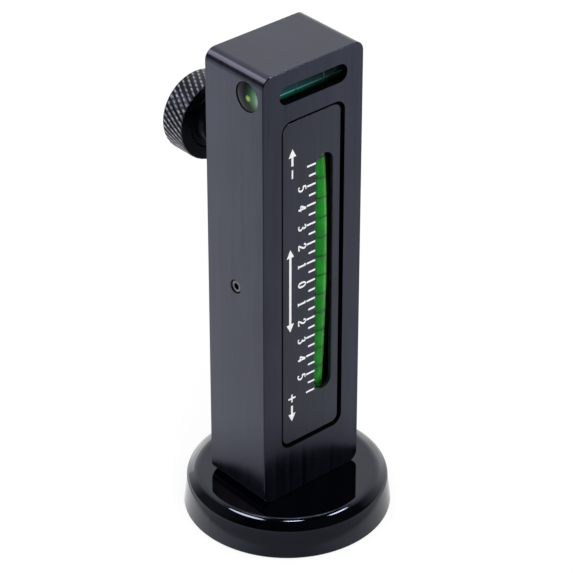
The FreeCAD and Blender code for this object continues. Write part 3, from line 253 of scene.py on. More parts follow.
# %% [markdown]
# ## Black anodised aluminium
#
# The block is brushed along its length, then anodised and dyed black. The dye sits in a clear oxide
# layer, so this isn't a metal shader. A nearly black colour under a slightly blue gloss comes
# closer, and the gloss is almost all that shows. Fine streaks along Z, with broader ones and soft
# clouds under them, change the colour, the gloss and the surface a little. The faced top is brushed
# along Y, so the streaks are chosen by which way the face looks.
#
# The walls inside the pockets and bores get painted shade: their colour and their gloss colour go
# to nothing, and they are rough, which stands in for the shade that falls there. A box a little
# smaller than the block picks them out. It ends well below the top, because the rounded long edges
# dip that far.

# %% The block's and the plates' finish
def inside_of(finish, low, high):
    """1 between two corners of a box, else 0."""
    tree = finish.node_tree
    inside = 1.0
    for part, least, most in zip(object_place(tree), low, high):
        above = maths(tree, "GREATER_THAN", part, least)
        below = maths(tree, "LESS_THAN", part, most)
        inside = product(tree, above, below, inside)
    return inside


def brush_marks(finish, axis):
    """Fine and broad streaks along one axis, their width and length in millimetres."""
    marks = []
    for width, length, detail in ((0.16, 22.0, 2.0), (1.3, 60.0, 3.0)):
        sizes = [length if name == axis else width for name in "XYZ"]
        marks.append(noise(finish, sizes, detail))
    return marks


def brushed_black(name, dark, light, sheen, gloss, shaded_pockets=None):
    fine_share, broad_share, cloud_share = 0.35, 0.4, 0.25
    weakest_sheen, dull = 0.84, 0.75
    finish = start_finish(name, dark, gloss, Specular_IOR_Level=0.68)
    tree = finish.node_tree
    fine, broad = brush_marks(finish, "Z")
    if shaded_pockets:
        normal = add_node(tree, "ShaderNodeNewGeometry").outputs["Normal"]
        up = add_node(tree, "ShaderNodeSeparateXYZ", Vector=normal).outputs["Z"]
        on_top = maths(tree, "GREATER_THAN", up, 0.8)
        top_fine, top_broad = brush_marks(finish, "Y")
        fine, broad = blend(tree, on_top, fine, top_fine), blend(tree, on_top, broad, top_broad)
    clouds = noise(finish, (9.0, 9.0, 16.0), 2.0)
    streaks = maths(
        tree, "MULTIPLY_ADD", broad, broad_share, maths(tree, "MULTIPLY", fine, fine_share)
    )
    streaks = maths(tree, "MULTIPLY_ADD", clouds, cloud_share, streaks)
    streaks = spread(finish, streaks, 0.3, 0.7, 0.1, 1.0)
    shade, lit = streaks, blend(tree, streaks, weakest_sheen, 1.0)
    rough = spread(finish, streaks, 0.0, 1.0, gloss - 0.02, gloss + 0.03)
    # Painted shade: inside the box the streaks' colour and gloss colour go to nothing.
    if shaded_pockets:
        inside = inside_of(finish, *shaded_pockets)
        outside = maths(tree, "SUBTRACT", 1.0, inside)
        shade, lit = product(tree, shade, outside), product(tree, lit, outside)
        rough = blend(tree, inside, rough, dull)
    tint(finish, shade, dark, light)
    tint(finish, lit, (0.0, 0.0, 0.0), sheen, "Specular Tint")
    tree.links.new(rough, shader_of(finish).inputs["Roughness"])
    emboss(finish, fine, 0.0015, 0.6)
    return finish


block_low, block_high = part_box("body_block")
skin, top_skin = Vector((1.3, 0.12, 0.3)) * MM, Vector((1.3, 0.12, 3.4)) * MM
finishes = {
    "block": brushed_black(
        "brushed_black_block",
        dark=(0.0004, 0.0005, 0.0012),
        light=(0.0045, 0.0050, 0.0085),
        sheen=(0.56, 0.63, 1.0),
        gloss=0.21,
        shaded_pockets=(block_low + skin, block_high - top_skin),
    ),
    "plate": brushed_black(
        "brushed_black_plate",
        dark=(0.0015, 0.0017, 0.003),
        light=(0.0070, 0.0075, 0.0110),
        sheen=(0.62, 0.69, 1.0),
        gloss=0.24,
    ),
}
print("made", [f.name for f in finishes.values()])

# %% [markdown]
# ## Gloss black enamel
#
# The magnet's steel cup is stoved with gloss enamel, smooth enough to mirror the block. The colour
# is nearly nothing, and all that shows is the gloss, so the finish needs a faint orange peel and
# slightly duller patches from handling to look real.
#
# Wet enamel draws back from an edge, so the flat crown rolls over gently before it ends. The solid
# has the crown and its rounding, and the finish softens the rounding's start: between two radii it
# leans the surface's direction outwards, and only where the true surface leans less.

# %% The cup's finish
roll_start, roll_end, roll_lean = 25.5 * MM, 27.9 * MM, math.radians(47)
cup = start_finish("gloss_black_enamel", (0.0004, 0.0005, 0.0010), 0.06, Specular_IOR_Level=0.5)
shader_of(cup).inputs["Specular Tint"].default_value = (0.68, 0.75, 1.0, 1)
handled = noise(cup, (7.0, 7.0, 7.0), 4.0)
tint(cup, handled, (0.0003, 0.0004, 0.0009), (0.0008, 0.0009, 0.0018))
vary_gloss(cup, handled, 0.03, 0.09)

tree = cup.node_tree
x, y, _ = object_place(tree)
radius = maths(tree, "MAXIMUM", long_side(tree, x, y), 1 * MM)
facing = add_node(tree, "ShaderNodeNewGeometry").outputs["Normal"]
upright = add_node(tree, "ShaderNodeSeparateXYZ", Vector=facing).outputs["Z"]
rolled = spread(cup, radius, roll_start, roll_end, 0.0, roll_lean)
on_crown = maths(tree, "LESS_THAN", maths(tree, "ARCCOSINE", upright), rolled)
outward = maths(tree, "DIVIDE", maths(tree, "SINE", rolled), radius)
rolled_facing = add_node(
    tree,
    "ShaderNodeCombineXYZ",
    X=maths(tree, "MULTIPLY", x, outward),
    Y=maths(tree, "MULTIPLY", y, outward),
    Z=maths(tree, "COSINE", rolled),
)
orange_peel = add_node(
    tree,
    "ShaderNodeBump",
    Height=noise(cup, (2.6, 2.6, 2.6), 1.0),
    Distance=0.003 * MM,
    Strength=0.25,
    Normal=mixed(tree, on_crown, facing, rolled_facing.outputs[0], "VECTOR"),
)
tree.links.new(orange_peel.outputs[0], shader_of(cup).inputs["Normal"])
finishes["cup"] = cup
print("made", cup.name)

# %% [markdown]
# ## Knob, screws and small metal
#
# The knob is black oxidised steel. Handling polishes the crests of its knurl and leaves the grooves
# black, so the finish gets paler, glossier and more mirroring towards the outside. The distance
# from the knob's axis gives that, and it needs no extra data on the mesh. The small parts share one
# maker, `worked_metal`, with a turned or drawn grain.

# %% The knob's finish
knob_radius, crest_height, crest_top = 12.5 * MM, 0.13 * MM, 0.01 * MM
groove_black = (0.0015, 0.0015, 0.003)
knob_finish = start_finish("knurled_black_steel", groove_black, 0.28, Specular_IOR_Level=0.42)
tree = knob_finish.node_tree
x, _, z = object_place(tree)
from_axis = long_side(tree, x, maths(tree, "SUBTRACT", z, knob_axis))
crest = spread(knob_finish, from_axis, knob_radius - crest_height, knob_radius - crest_top)
crest = maths(tree, "POWER", crest, 2.0)
worn = maths(tree, "MULTIPLY", crest, noise(knob_finish, (1.1, 1.1, 1.1), 3.0, (0.25, 0.6)))
tint(knob_finish, worn, groove_black, (0.55, 0.56, 0.66))
tint(knob_finish, crest, (0.20, 0.22, 0.36), (0.80, 0.84, 1.0), "Specular Tint")
vary_gloss(knob_finish, worn, 0.30, 0.2)
emboss(knob_finish, noise(knob_finish, (0.3, 0.3, 0.3), 2.0), 0.003, 0.4)
finishes["knob"] = knob_finish
print("made", knob_finish.name)

# %% The small metal parts' finishes
turned_grain, drawn_grain = (0.25, 0.25, 0.25), (0.3, 0.3, 9.0)


def worked_metal(name, colour, roughness, metallic=1.0, grain_sizes=turned_grain, swing=0.25):
    finish = start_finish(name, colour, roughness, Metallic=metallic)
    grain = noise(finish, grain_sizes, 3.0)
    dark, light = [c * (1 - swing) for c in colour], [min(1.0, c * (1 + swing)) for c in colour]
    tint(finish, grain, dark, light)
    vary_gloss(finish, grain, roughness * 0.8, roughness * 1.25)
    emboss(finish, grain, 0.002, 0.5)
    return finish


metals = {
    "screw": worked_metal("black_oxide_screw", (0.11, 0.11, 0.12), 0.32, 0.6),
    "pin": worked_metal("ground_steel_pin", (0.50, 0.50, 0.51), 0.22),
    "stud": worked_metal("zinc_plated_stud", (0.42, 0.42, 0.43), 0.28),
    "bush": worked_metal("turned_brass_bush", (0.62, 0.42, 0.17), 0.25),
    "carrier": worked_metal(
        "plain_anodised_carrier", (0.34, 0.35, 0.37), 0.38, 0.8, drawn_grain
    ),
    "pole": worked_metal("turned_steel_pole", (0.36, 0.36, 0.37), 0.3),
}
finishes.update(metals)
print("made", [f.name for f in metals.values()])

# %% [markdown]
# ## Vials and their liquid
#
# A vial is a clear acrylic tube round a green dyed liquid. The tube bends what is behind it, so it
# is a true transmitting plastic. The liquid could be clear and green too, but the real one is
# slightly milky and its dye glows a little in daylight. So it is a green body under a smooth
# surface, with a little cloudiness along it and a weak glow, which is painted light standing in for
# that fluorescence. Its right side, which is turned to the wall of the window, first gets a painted
# highlight and then painted shade, olive: the distance from the vial's axis, measured across the
# plate, gives that.

# %% The vials' finishes
acrylic = start_finish(
    "clear_acrylic_vial", (0.97, 1.0, 0.98), 0.02, Transmission_Weight=1.0, IOR=1.45
)
shader_of(acrylic).inputs["Specular Tint"].default_value = (0.03, 0.35, 0.06, 1)
tint(acrylic, noise(acrylic, (3.0, 3.0, 3.0), 2.0), (0.93, 1.0, 0.95), (0.99, 1.0, 0.99))
vary_gloss(acrylic, noise(acrylic, (5.0, 5.0, 5.0), 2.0), 0.01, 0.05)
finishes["vial"] = acrylic

liquid = start_finish(
    "green_vial_liquid",
    (0.006, 0.20, 0.016),
    0.3,
    IOR=1.36,
    Emission_Strength=0.02,
    Specular_IOR_Level=0.15,
)
# The weak glow is painted light, standing in for the dye's fluorescence.
shader_of(liquid).inputs["Emission Color"].default_value = (0.01, 0.30, 0.03, 1)
tree = liquid.node_tree
to_right = maths(tree, "SUBTRACT", object_place(tree)[0], middle("camber_vial_tube").x)
# The dye's green, then a painted highlight and painted olive shade towards the vial's right side.
dye_and_painted_light = colour_ramp(
    tree,
    spread(liquid, to_right, 0.6 * MM, 2.2 * MM),
    [(0.0, (0.004, 0.205, 0.010)), (0.5, (0.120, 0.420, 0.060)), (1.0, (0.030, 0.060, 0.004))],
)
cloudy = spread(liquid, noise(liquid, (4.0, 4.0, 9.0), 2.0), 0.3, 0.7, 0.85, 1.15)
tree.links.new(scale_by(tree, dye_and_painted_light, cloudy), shader_of(liquid).inputs["Base Color"])
finishes["liquid"] = liquid
print("made", acrylic.name, liquid.name)

# %% [markdown]
# ## The cross vial
#
# The short vial lies deep in the head, where little light reaches it, and a clear tube would come
# out black there. It is made as one body under a smooth skin, with its light and shade painted in.
# Its colour runs in bands along it: the liquid's green, darker at the foot as painted shade, then a
# thin painted highlight where the tube gathers the light, then a dark blue green, and all of it
# fades to the right, away from the open end, as painted shade. The round end in the left face gets
# painted shade at the back, top and bottom, is paler to the front, and has a small painted yellow
# green glint a little in front of its middle.

# %% The cross vial's bands
vial_left_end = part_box("cross_vial_tube")[0].x
vial_middle = middle("cross_vial_tube")
dye_and_painted_light_vial = start_finish("dark_dyed_vial", (0.0, 0.02, 0.012), 0.06, IOR=1.12)
tree = dye_and_painted_light_vial.node_tree
x, y, z = object_place(tree)
back = maths(tree, "SUBTRACT", y, vial_middle.y)
up = maths(tree, "SUBTRACT", z, vial_middle.z)
across_bands = maths(tree, "MULTIPLY_ADD", up, 0.9, maths(tree, "MULTIPLY", back, 0.43))
# Painted light: darker green towards the foot as shade, a pale band as the tube's highlight.
bands_with_painted_light = colour_ramp(
    tree,
    spread(dye_and_painted_light_vial, across_bands, -4.4 * MM, -0.8 * MM),
    [
        (0.00, (0.0010, 0.0300, 0.0080)),
        (0.22, (0.0030, 0.1300, 0.0600)),
        (0.46, (0.0060, 0.1600, 0.1200)),
        (0.49, (0.2000, 0.4800, 0.4800)),
        (0.55, (0.2000, 0.4800, 0.4800)),
        (0.60, (0.0100, 0.1000, 0.1000)),
        (1.00, (0.0120, 0.0800, 0.0850)),
    ],
)
# Painted shade: the colour fades towards the right, away from the open end.
bands_in_painted_shade = scale_by(tree, bands_with_painted_light, spread(dye_and_painted_light_vial, x, -12 * MM, 8 * MM, 0.9, 0.06))
print("made the bands of", dye_and_painted_light_vial.name)

# %% The cross vial's open end
# Painted light and shade on the open end: dark at the back, pale with a bright rim at the front.
painted_end_light_and_shade = colour_ramp(
    tree,
    spread(dye_and_painted_light_vial, back, 3.6 * MM, -4.4 * MM),
    [
        (0.00, (0.002, 0.003, 0.005)),
        (0.40, (0.006, 0.010, 0.014)),
        (0.62, (0.030, 0.085, 0.045)),
        (0.85, (0.140, 0.290, 0.170)),
        (1.00, (0.460, 0.540, 0.520)),
    ],
)
# A painted glint on the open end.
painted_glint_front, painted_glint_edge, painted_glint_core = 0.9 * MM, 1.1 * MM, 0.3 * MM
from_painted_glint = long_side(tree, maths(tree, "ADD", back, painted_glint_front), up)
in_painted_glint = spread(dye_and_painted_light_vial, from_painted_glint, painted_glint_edge, painted_glint_core)
open_end_painted_light = mixed(tree, in_painted_glint, painted_end_light_and_shade, (0.42, 0.66, 0.10, 1))
# Painted shade at the open end's top and bottom.
painted_shade_low = spread(dye_and_painted_light_vial, up, -3.8 * MM, -0.5 * MM, 0.25, 1.0)
painted_shade_high = spread(dye_and_painted_light_vial, up, 4.2 * MM, 1.5 * MM, 0.35, 1.0)
painted_shaded_end = scale_by(tree, open_end_painted_light, product(tree, painted_shade_low, painted_shade_high))
is_end = maths(tree, "LESS_THAN", x, vial_left_end + 1.2 * MM)
tree.links.new(mixed(tree, is_end, bands_in_painted_shade, painted_shaded_end), shader_of(dye_and_painted_light_vial).inputs["Base Color"])
vary_gloss(dye_and_painted_light_vial, noise(dye_and_painted_light_vial, (4.0, 4.0, 4.0), 2.0), 0.04, 0.09)
print("made", dye_and_painted_light_vial.name)

# %% [markdown]
# ## Plastics, rubber and the magnet
#
# What is left is moulded or cast: plugs, the printed rings on the vials, the bed that the front
# vial lies in, the nylon pad, the rubber ring, the ferrite magnet and the resin round it. Each gets
# its own grain, from smooth moulding to the sandy surface of sintered ferrite. The scales' white
# ink gets a weak glow, so that it stays a clean white in this soft light.

# %% The other finishes
def moulded(name, dark, light, roughness, grain_size, depth):
    finish = start_finish(name, dark, roughness)
    grain = noise(finish, (grain_size,) * 3, 4.0)
    tint(finish, grain, dark, light)
    vary_gloss(finish, grain, roughness - 0.05, roughness + 0.08)
    emboss(finish, grain, depth, 0.6)
    return finish


for slot, name, dark, light, roughness, grain_size, depth in (
    ("plug", "green_vial_plug", (0.02, 0.30, 0.06), (0.03, 0.42, 0.09), 0.3, 1.5, 0.004),
    ("ring", "vial_ring_ink", (0.004, 0.02, 0.008), (0.008, 0.03, 0.012), 0.4, 0.3, 0.001),
    # The bed's olive is painted light: the vial's green glow falling on it.
    ("bed", "olive_cast_bed", (0.035, 0.042, 0.008), (0.06, 0.065, 0.014), 0.5, 1.2, 0.01),
    ("nylon", "white_nylon_pad", (0.70, 0.69, 0.64), (0.78, 0.77, 0.72), 0.4, 0.6, 0.004),
    ("rubber", "black_rubber_ring", (0.012,) * 3, (0.022,) * 3, 0.6, 0.4, 0.006),
    ("ferrite", "sintered_ferrite", (0.035, 0.035, 0.038), (0.06, 0.06, 0.065), 0.55, 0.25, 0.015),
    ("resin", "black_potting_resin", (0.012, 0.012, 0.014), (0.02, 0.02, 0.024), 0.18, 4.0, 0.02),
):
    finishes[slot] = moulded(name, dark, light, roughness, grain_size, depth)
white_ink = moulded("white_screen_ink", (0.90, 0.90, 0.92), (0.97, 0.97, 0.98), 0.5, 0.25, 0.003)
shader_of(white_ink).inputs["Emission Color"].default_value = (1, 1, 1, 1)
shader_of(white_ink).inputs["Emission Strength"].default_value = 0.16
print("slots with a finish:", len(finishes))

# %% [markdown]
# Every CAD node holds a material named after its slot, so a loop can hand out the finishes. Two
# nodes get another one than their slot says: the cross vial, and the set screw in the left face,
# whose end is plain oxide and whose socket is black, its oxide deepened by painted shade. A box
# that starts just behind the screw's end picks the socket out, as one did for the painted shade in
# the block's pockets.

# %% Put the finishes on the nodes
oxide, painted_socket_shade = (0.15, 0.15, 0.16), (0.002, 0.002, 0.003)
set_screw = start_finish("socket_set_screw", oxide, 0.35, Metallic=0.6)
screw_low, screw_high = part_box("pivot_set_screw")
# Painted shade: the socket, a little way in from the screw's end, is near black.
in_shaded_socket = inside_of(set_screw, screw_low + Vector((0.12, 0.3, 0.3)) * MM, screw_high)
tint(set_screw, in_shaded_socket, oxide, painted_socket_shade)
vary_gloss(set_screw, noise(set_screw, (0.4, 0.4, 0.4), 2.0), 0.28, 0.42)

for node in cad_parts.values():
    for holder in node.material_slots:
        holder.material = finishes[holder.material.name]
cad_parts["cross_vial_tube"].material_slots[0].material = dye_and_painted_light_vial
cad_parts["pivot_set_screw"].material_slots[0].material = set_screw
print("finishes set on", len(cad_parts), "nodes")

# %% [markdown]
# ## The vials' fillings
#
# In CAD the liquid is a little smaller than its tube, because two solids may not share a face. Seen
# through the tube, that thin film of air would work as a mirror and make the liquid look thin. So
# each filling is a copy of the liquid's skin, welded and pushed out until it wets the tube's wall.
#
# The lower half of the real front vial looks as if it curved about half as much as its scale asks
# for, probably because it is seen through thick clear plastic. Only that look is matched: the
# vial's pieces are copies that `ease` brings forward below the crown. So they differ there from
# the solids, which keep the bend that the scale asks for.

# %% Fill the vials
crown_height = zero_height + 9 * MM
bend_radius, eased_share = 360 * MM, 0.45
wetting = 0.07 * MM


def ease(place):
    """Bring a place of the front vial's lower half forward by a share of the vial's bend."""
    below = max(0.0, crown_height - place.z)
    place.y -= eased_share * below**2 / (2 * bend_radius)


def vial_piece(name, node, body, slot, push=0.0, eased=False):
    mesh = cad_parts[node].data.copy()
    shape = bmesh.new()
    shape.from_mesh(mesh)
    bmesh.ops.remove_doubles(shape, verts=shape.verts, dist=1e-6)
    bmesh.ops.recalc_face_normals(shape, faces=shape.faces)
    shape.normal_update()
    for vert in shape.verts:
        vert.co += vert.normal * push
        if eased:
            ease(vert.co)
    shape.to_mesh(mesh)
    shape.free()
    mesh.materials.clear()
    mesh.materials.append(finishes[slot])
    mesh.shade_smooth()
    mesh.set_sharp_from_angle(angle=math.radians(35))
    piece = bpy.data.objects.new(name, mesh)
    bpy.context.scene.collection.objects.link(piece)
    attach(piece, body)
    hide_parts(node)
    print(name, "has", len(mesh.polygons), "faces")


vial_piece("camber_vial_filling", "camber_vial_liquid", "housing", "liquid", wetting, eased=True)
vial_piece("camber_vial_clear_tube", "camber_vial_tube", "housing", "vial", eased=True)
vial_piece("camber_vial_dark_rings", "camber_vial_rings", "housing", "ring", eased=True)
vial_piece("camber_vial_end_plugs", "camber_vial_plugs", "housing", "plug", eased=True)
vial_piece("caster_vial_filling", "caster_vial_liquid", "carrier", "liquid", wetting)

# %% [markdown]
# ## Turned pieces
#
# The knob and its stud are turned on a lathe, and so is their mesh: a profile of distances along
# the axis and radii is swept round. A radius of 0 becomes a single pole vertex, so the skin is
# closed. `round_corner` adds the steps of a small arc to a profile.

# %% A lathe for meshes
def lathe(name, profile, steps):
    mesh = bpy.data.meshes.new(name)
    shape = bmesh.new()
    rows = []
    for along, radius in profile:
        if radius < 1e-9:
            rows.append([shape.verts.new((0, along, knob_axis))])
            continue
        row = []
        for step in range(steps):
            angle = 2 * math.pi * step / steps
            across, up = radius * math.cos(angle), radius * math.sin(angle)
            row.append(shape.verts.new((across, along, knob_axis + up)))
        rows.append(row)
    for first, second in zip(rows, rows[1:]):
        for step in range(steps):
            after = (step + 1) % steps
            corners = [first[step % len(first)], second[step % len(second)]]
            corners += [second[after % len(second)], first[after % len(first)]]
            corners = list(dict.fromkeys(corners))
            shape.faces.new(corners)
    bmesh.ops.recalc_face_normals(shape, faces=shape.faces)
    shape.to_mesh(mesh)
    shape.free()
    piece = bpy.data.objects.new(name, mesh)
    bpy.context.scene.collection.objects.link(piece)
    return piece


def round_corner(centre, radius, start, end, steps=5):
    angles = [math.radians(start + (end - start) * step / steps) for step in range(steps + 1)]
    return [(centre[0] + radius * math.cos(a), centre[1] + radius * math.sin(a)) for a in angles]


def steps_between(start, end, count):
    return [start + (end - start) * step / count for step in range(count + 1)]


# %% [markdown]
# ## A tree that changes a turned skin
#
# Knurling and threading both press a pattern into a turned skin. The pattern is a rule, so a
# Geometry Nodes tree suits it: each point moves towards the axis by a depth that depends on its
# angle and on its distance along the axis. `start_tree`, `around_axis`, `press_in` and `end_tree`
# make the parts that such trees share.

# %% The shared part of the knurl and thread trees
def start_tree(name, numbers):
    tree = bpy.data.node_groups.new(name, "GeometryNodeTree")
    face = tree.interface
    face.new_socket("Geometry", in_out="INPUT", socket_type="NodeSocketGeometry")
    for title, (kind, value) in numbers.items():
        socket = face.new_socket(title, in_out="INPUT", socket_type=kind)
        if kind != "NodeSocketMaterial":
            socket.default_value = value
    face.new_socket("Geometry", in_out="OUTPUT", socket_type="NodeSocketGeometry")
    return tree, tree.nodes.new("NodeGroupInput").outputs


def end_tree(tree, geometry, material):
    real = add_node(tree, "GeometryNodeRealizeInstances", Geometry=geometry)
    painted = add_node(tree, "GeometryNodeSetMaterial", Geometry=real.outputs[0], Material=material)
    end = tree.nodes.new("NodeGroupOutput")
    tree.links.new(painted.outputs[0], end.inputs[0])


def around_axis(tree, axis_height):
    """Place along the axis, distance from it, turns round it and the direction away from it."""
    position = tree.nodes.new("GeometryNodeInputPosition").outputs[0]
    x, y, z = add_node(tree, "ShaderNodeSeparateXYZ", Vector=position).outputs
    z = maths(tree, "SUBTRACT", z, axis_height)
    radius = long_side(tree, x, z)
    turns = maths(tree, "DIVIDE", maths(tree, "ARCTAN2", z, x), 2 * math.pi)
    outwards = add_node(
        tree,
        "ShaderNodeCombineXYZ",
        X=maths(tree, "DIVIDE", x, radius),
        Z=maths(tree, "DIVIDE", z, radius),
    )
    return y, radius, turns, outwards.outputs[0]


def press_in(tree, geometry, outwards, depth):
    inwards = scale_by(tree, outwards, maths(tree, "MULTIPLY", depth, -1.0))
    return add_node(tree, "GeometryNodeSetPosition", Geometry=geometry, Offset=inwards).outputs[0]


def use_tree(piece, tree, **values):
    modifier = piece.modifiers.new(tree.name, "NODES")
    modifier.node_group = tree
    sockets = [s for s in tree.interface.items_tree if s.in_out == "INPUT"]
    titles = {s.name.replace(" ", "_"): s.identifier for s in sockets}
    for title, value in values.items():
        modifier[titles[title]] = value


def made_plain(piece, sharp=35):
    """Put the mesh that the modifiers make in place of the piece's own, and take them off."""
    graph = bpy.context.evaluated_depsgraph_get()
    mesh = bpy.data.meshes.new_from_object(piece.evaluated_get(graph))
    piece.modifiers.clear()
    piece.data = mesh
    mesh.shade_smooth()
    mesh.set_sharp_from_angle(angle=math.radians(sharp))
    return piece


# %% [markdown]
# ## The knurled knob
#
# A knurling tool rolls two families of slanting grooves into the rim, 30 degrees each way from the
# axis, which leaves rows of small diamonds. One family is deeper than the other on this knob, so
# its ridges run through and the others only nick them. The turned skin has eight points to a ridge.
# The grooves fade out on the chamfers, where the rim gets smaller. The hole for the knob's set
# screw is drilled first, with a Boolean.

# %% Turn the knob
knob_low, knob_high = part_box("adjust_knob")
neck_end, knob_end = knob_low.y, knob_high.y
head_face = knob_end - 8.5 * MM
neck, root, chamfer = 5.6 * MM, 2.2 * MM, 0.25 * MM
bore, bore_end = 3.05 * MM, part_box("adjust_screw")[1].y + 0.05 * MM
ridges, samples = 42, 8
ring_groove, groove_size = 8.8 * MM, 0.45 * MM
dish, dish_depth = 8.5 * MM, 0.7 * MM

profile = [(bore_end, 0), (bore_end, bore), (neck_end, bore), (neck_end, neck - chamfer)]
profile += [(neck_end + chamfer, neck)]
profile += round_corner((head_face - root, neck + root), root, -90, 0, 8)
profile += [
    (head_face, ring_groove - groove_size),
    (head_face + groove_size, ring_groove - groove_size / 2),
    (head_face, ring_groove),
]
inner_rim = steps_between(0, chamfer, 3)
profile += [(head_face + step, knob_radius - chamfer + step) for step in inner_rim]
rim_rows = 19
rim = steps_between(head_face + chamfer, knob_end - chamfer, rim_rows)[1:-1]
profile += [(place, knob_radius) for place in rim]
profile += [(knob_end - step, knob_radius - chamfer + step) for step in reversed(inner_rim)]
dish_floor = knob_end - dish_depth
profile += [(knob_end, dish), (dish_floor, dish - dish_depth), (dish_floor, 0)]
knob = lathe("knurled_knob", profile, ridges * samples)
print("turned the knob:", len(knob.data.polygons), "faces")

# %% Build the knurl's tree
groove_steepness = 2.6
tree, given = start_tree(
    "knurl",
    {
        "Axis height": ("NodeSocketFloat", 0.1),
        "Rim radius": ("NodeSocketFloat", 0.01),
        "Chamfer": ("NodeSocketFloat", 0.001),
        "Ridges": ("NodeSocketFloat", 40.0),
        "Slant": ("NodeSocketFloat", 0.5),
        "Deep cut": ("NodeSocketFloat", 0.0003),
        "Shallow cut": ("NodeSocketFloat", 0.0002),
        "Finish": ("NodeSocketMaterial", None),
    },
)
along, radius, turns, outwards = around_axis(tree, given["Axis height"])
slanted = maths(tree, "MULTIPLY", along, given["Slant"])
slanted = maths(tree, "DIVIDE", slanted, maths(tree, "MULTIPLY", given["Rim radius"], 2 * math.pi))


def cut_depth(sign, depth):
    """V grooves with flat crests between them."""
    phase = product(tree, maths(tree, sign, turns, slanted), given["Ridges"])
    wall = maths(tree, "MULTIPLY", maths(tree, "PINGPONG", phase, 0.5), groove_steepness)
    left = maths(tree, "MAXIMUM", maths(tree, "SUBTRACT", 1.0, wall), 0.0)
    return maths(tree, "MULTIPLY", left, depth)


deep = cut_depth("ADD", given["Deep cut"])
shallow = cut_depth("SUBTRACT", given["Shallow cut"])
cut = maths(tree, "MAXIMUM", deep, shallow)
past_rim = maths(tree, "SUBTRACT", radius, given["Rim radius"])
on_rim = maths(tree, "ADD", maths(tree, "DIVIDE", past_rim, given["Chamfer"]), 1.0)
on_rim = maths(tree, "MAXIMUM", on_rim, 0.0)
pressed = press_in(tree, given["Geometry"], outwards, maths(tree, "MULTIPLY", cut, on_rim))
end_tree(tree, pressed, given["Finish"])
print("the knurl's tree has", len(tree.nodes), "nodes")

# %% Drill and knurl the knob
drill_radius, drill_length, drill_height = 1.55 * MM, 6 * MM, knob_axis + 4.2 * MM
cutter = bpy.data.meshes.new("screw_hole")
drill = bmesh.new()
bmesh.ops.create_cone(
    drill,
    cap_ends=True,
    segments=40,
    radius1=drill_radius,
    radius2=drill_radius,
    depth=drill_length,
    matrix=Matrix.Translation((0, middle("knob_set_screw").y, drill_height)),
)
drill.to_mesh(cutter)
drill.free()
drill_bit = bpy.data.objects.new("screw_hole", cutter)
bpy.context.scene.collection.objects.link(drill_bit)
hole = knob.modifiers.new("screw_hole", "BOOLEAN")
hole.object, hole.operation, hole.solver = drill_bit, "DIFFERENCE", "EXACT"
use_tree(
    knob,
    tree,
    Axis_height=knob_axis,
    Rim_radius=knob_radius,
    Chamfer=chamfer,
    Ridges=float(ridges),
    Slant=math.tan(math.radians(30)),
    Deep_cut=0.34 * MM,
    Shallow_cut=0.10 * MM,
    Finish=knob_finish,
)
made_plain(knob)
bpy.data.objects.remove(drill_bit)
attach(knob, "knob")
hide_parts("adjust_knob")
print("knurled the knob:", len(knob.data.polygons), "faces")

# %% [markdown]
# ## The threaded stud
#
# An M6 thread with a 1 mm pitch climbs one millimetre each turn. A tree of the same steps makes it:
# the depth now depends on the distance along the axis less the turns made so far, and on nothing
# else. The crests keep the stud's size, so the thread is cut in and never stands out.

# %% Build the thread's tree
stud_low, stud_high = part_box("adjust_screw")
stud_radius, pitch, flank_steepness = 3.0 * MM, 1.0 * MM, 2.4
tree, given = start_tree(
    "thread",
    {
        "Axis height": ("NodeSocketFloat", 0.1),
        "Stud radius": ("NodeSocketFloat", 0.003),
        "Pitch": ("NodeSocketFloat", 0.001),
        "Depth": ("NodeSocketFloat", 0.0005),
        "Finish": ("NodeSocketMaterial", None),
    },
)
along, radius, turns, outwards = around_axis(tree, given["Axis height"])
climbed = maths(tree, "SUBTRACT", maths(tree, "DIVIDE", along, given["Pitch"]), turns)
flank = maths(tree, "MULTIPLY", maths(tree, "PINGPONG", climbed, 0.5), flank_steepness)
groove = maths(tree, "MAXIMUM", maths(tree, "SUBTRACT", 1.0, flank), 0.0)
on_skin = maths(tree, "GREATER_THAN", radius, maths(tree, "MULTIPLY", given["Stud radius"], 0.99))
depth = product(tree, groove, given["Depth"], on_skin)
end_tree(tree, press_in(tree, given["Geometry"], outwards, depth), given["Finish"])
print("the thread's tree has", len(tree.nodes), "nodes")

# %% Turn and thread the stud
hole_low, hole_radius, edge = stud_low.y + 2.5 * MM, 1.3 * MM, 0.4 * MM
profile = [(hole_low, 0), (hole_low, hole_radius)]
profile += [(stud_low.y, hole_radius), (stud_low.y, stud_radius - edge)]
skin = steps_between(stud_low.y + edge, stud_high.y - edge, 216)
profile += [(place, stud_radius) for place in skin]
profile += [(stud_high.y, stud_radius - edge), (stud_high.y, 0)]
stud = lathe("threaded_stud", profile, 40)
use_tree(
    stud,
    tree,
    Axis_height=knob_axis,
    Stud_radius=stud_radius,
    Pitch=pitch,
    Depth=0.55 * MM,
    Finish=finishes["stud"],
)
made_plain(stud, 50)
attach(stud, "knob")
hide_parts("adjust_screw")
print("threaded the stud:", len(stud.data.polygons), "faces")

# %% [markdown]
# ## The printed scales
#
# A scale is screen printed: flat, white and hardly thicker than paint. Its lines repeat at a fixed
# step, every second one shorter, so a Geometry Nodes tree places them. One rounded bar is filled,
# raised by the ink's thickness and closed underneath. Copies of it go on the points of an upright
# row, and every second copy is squeezed towards its right end.

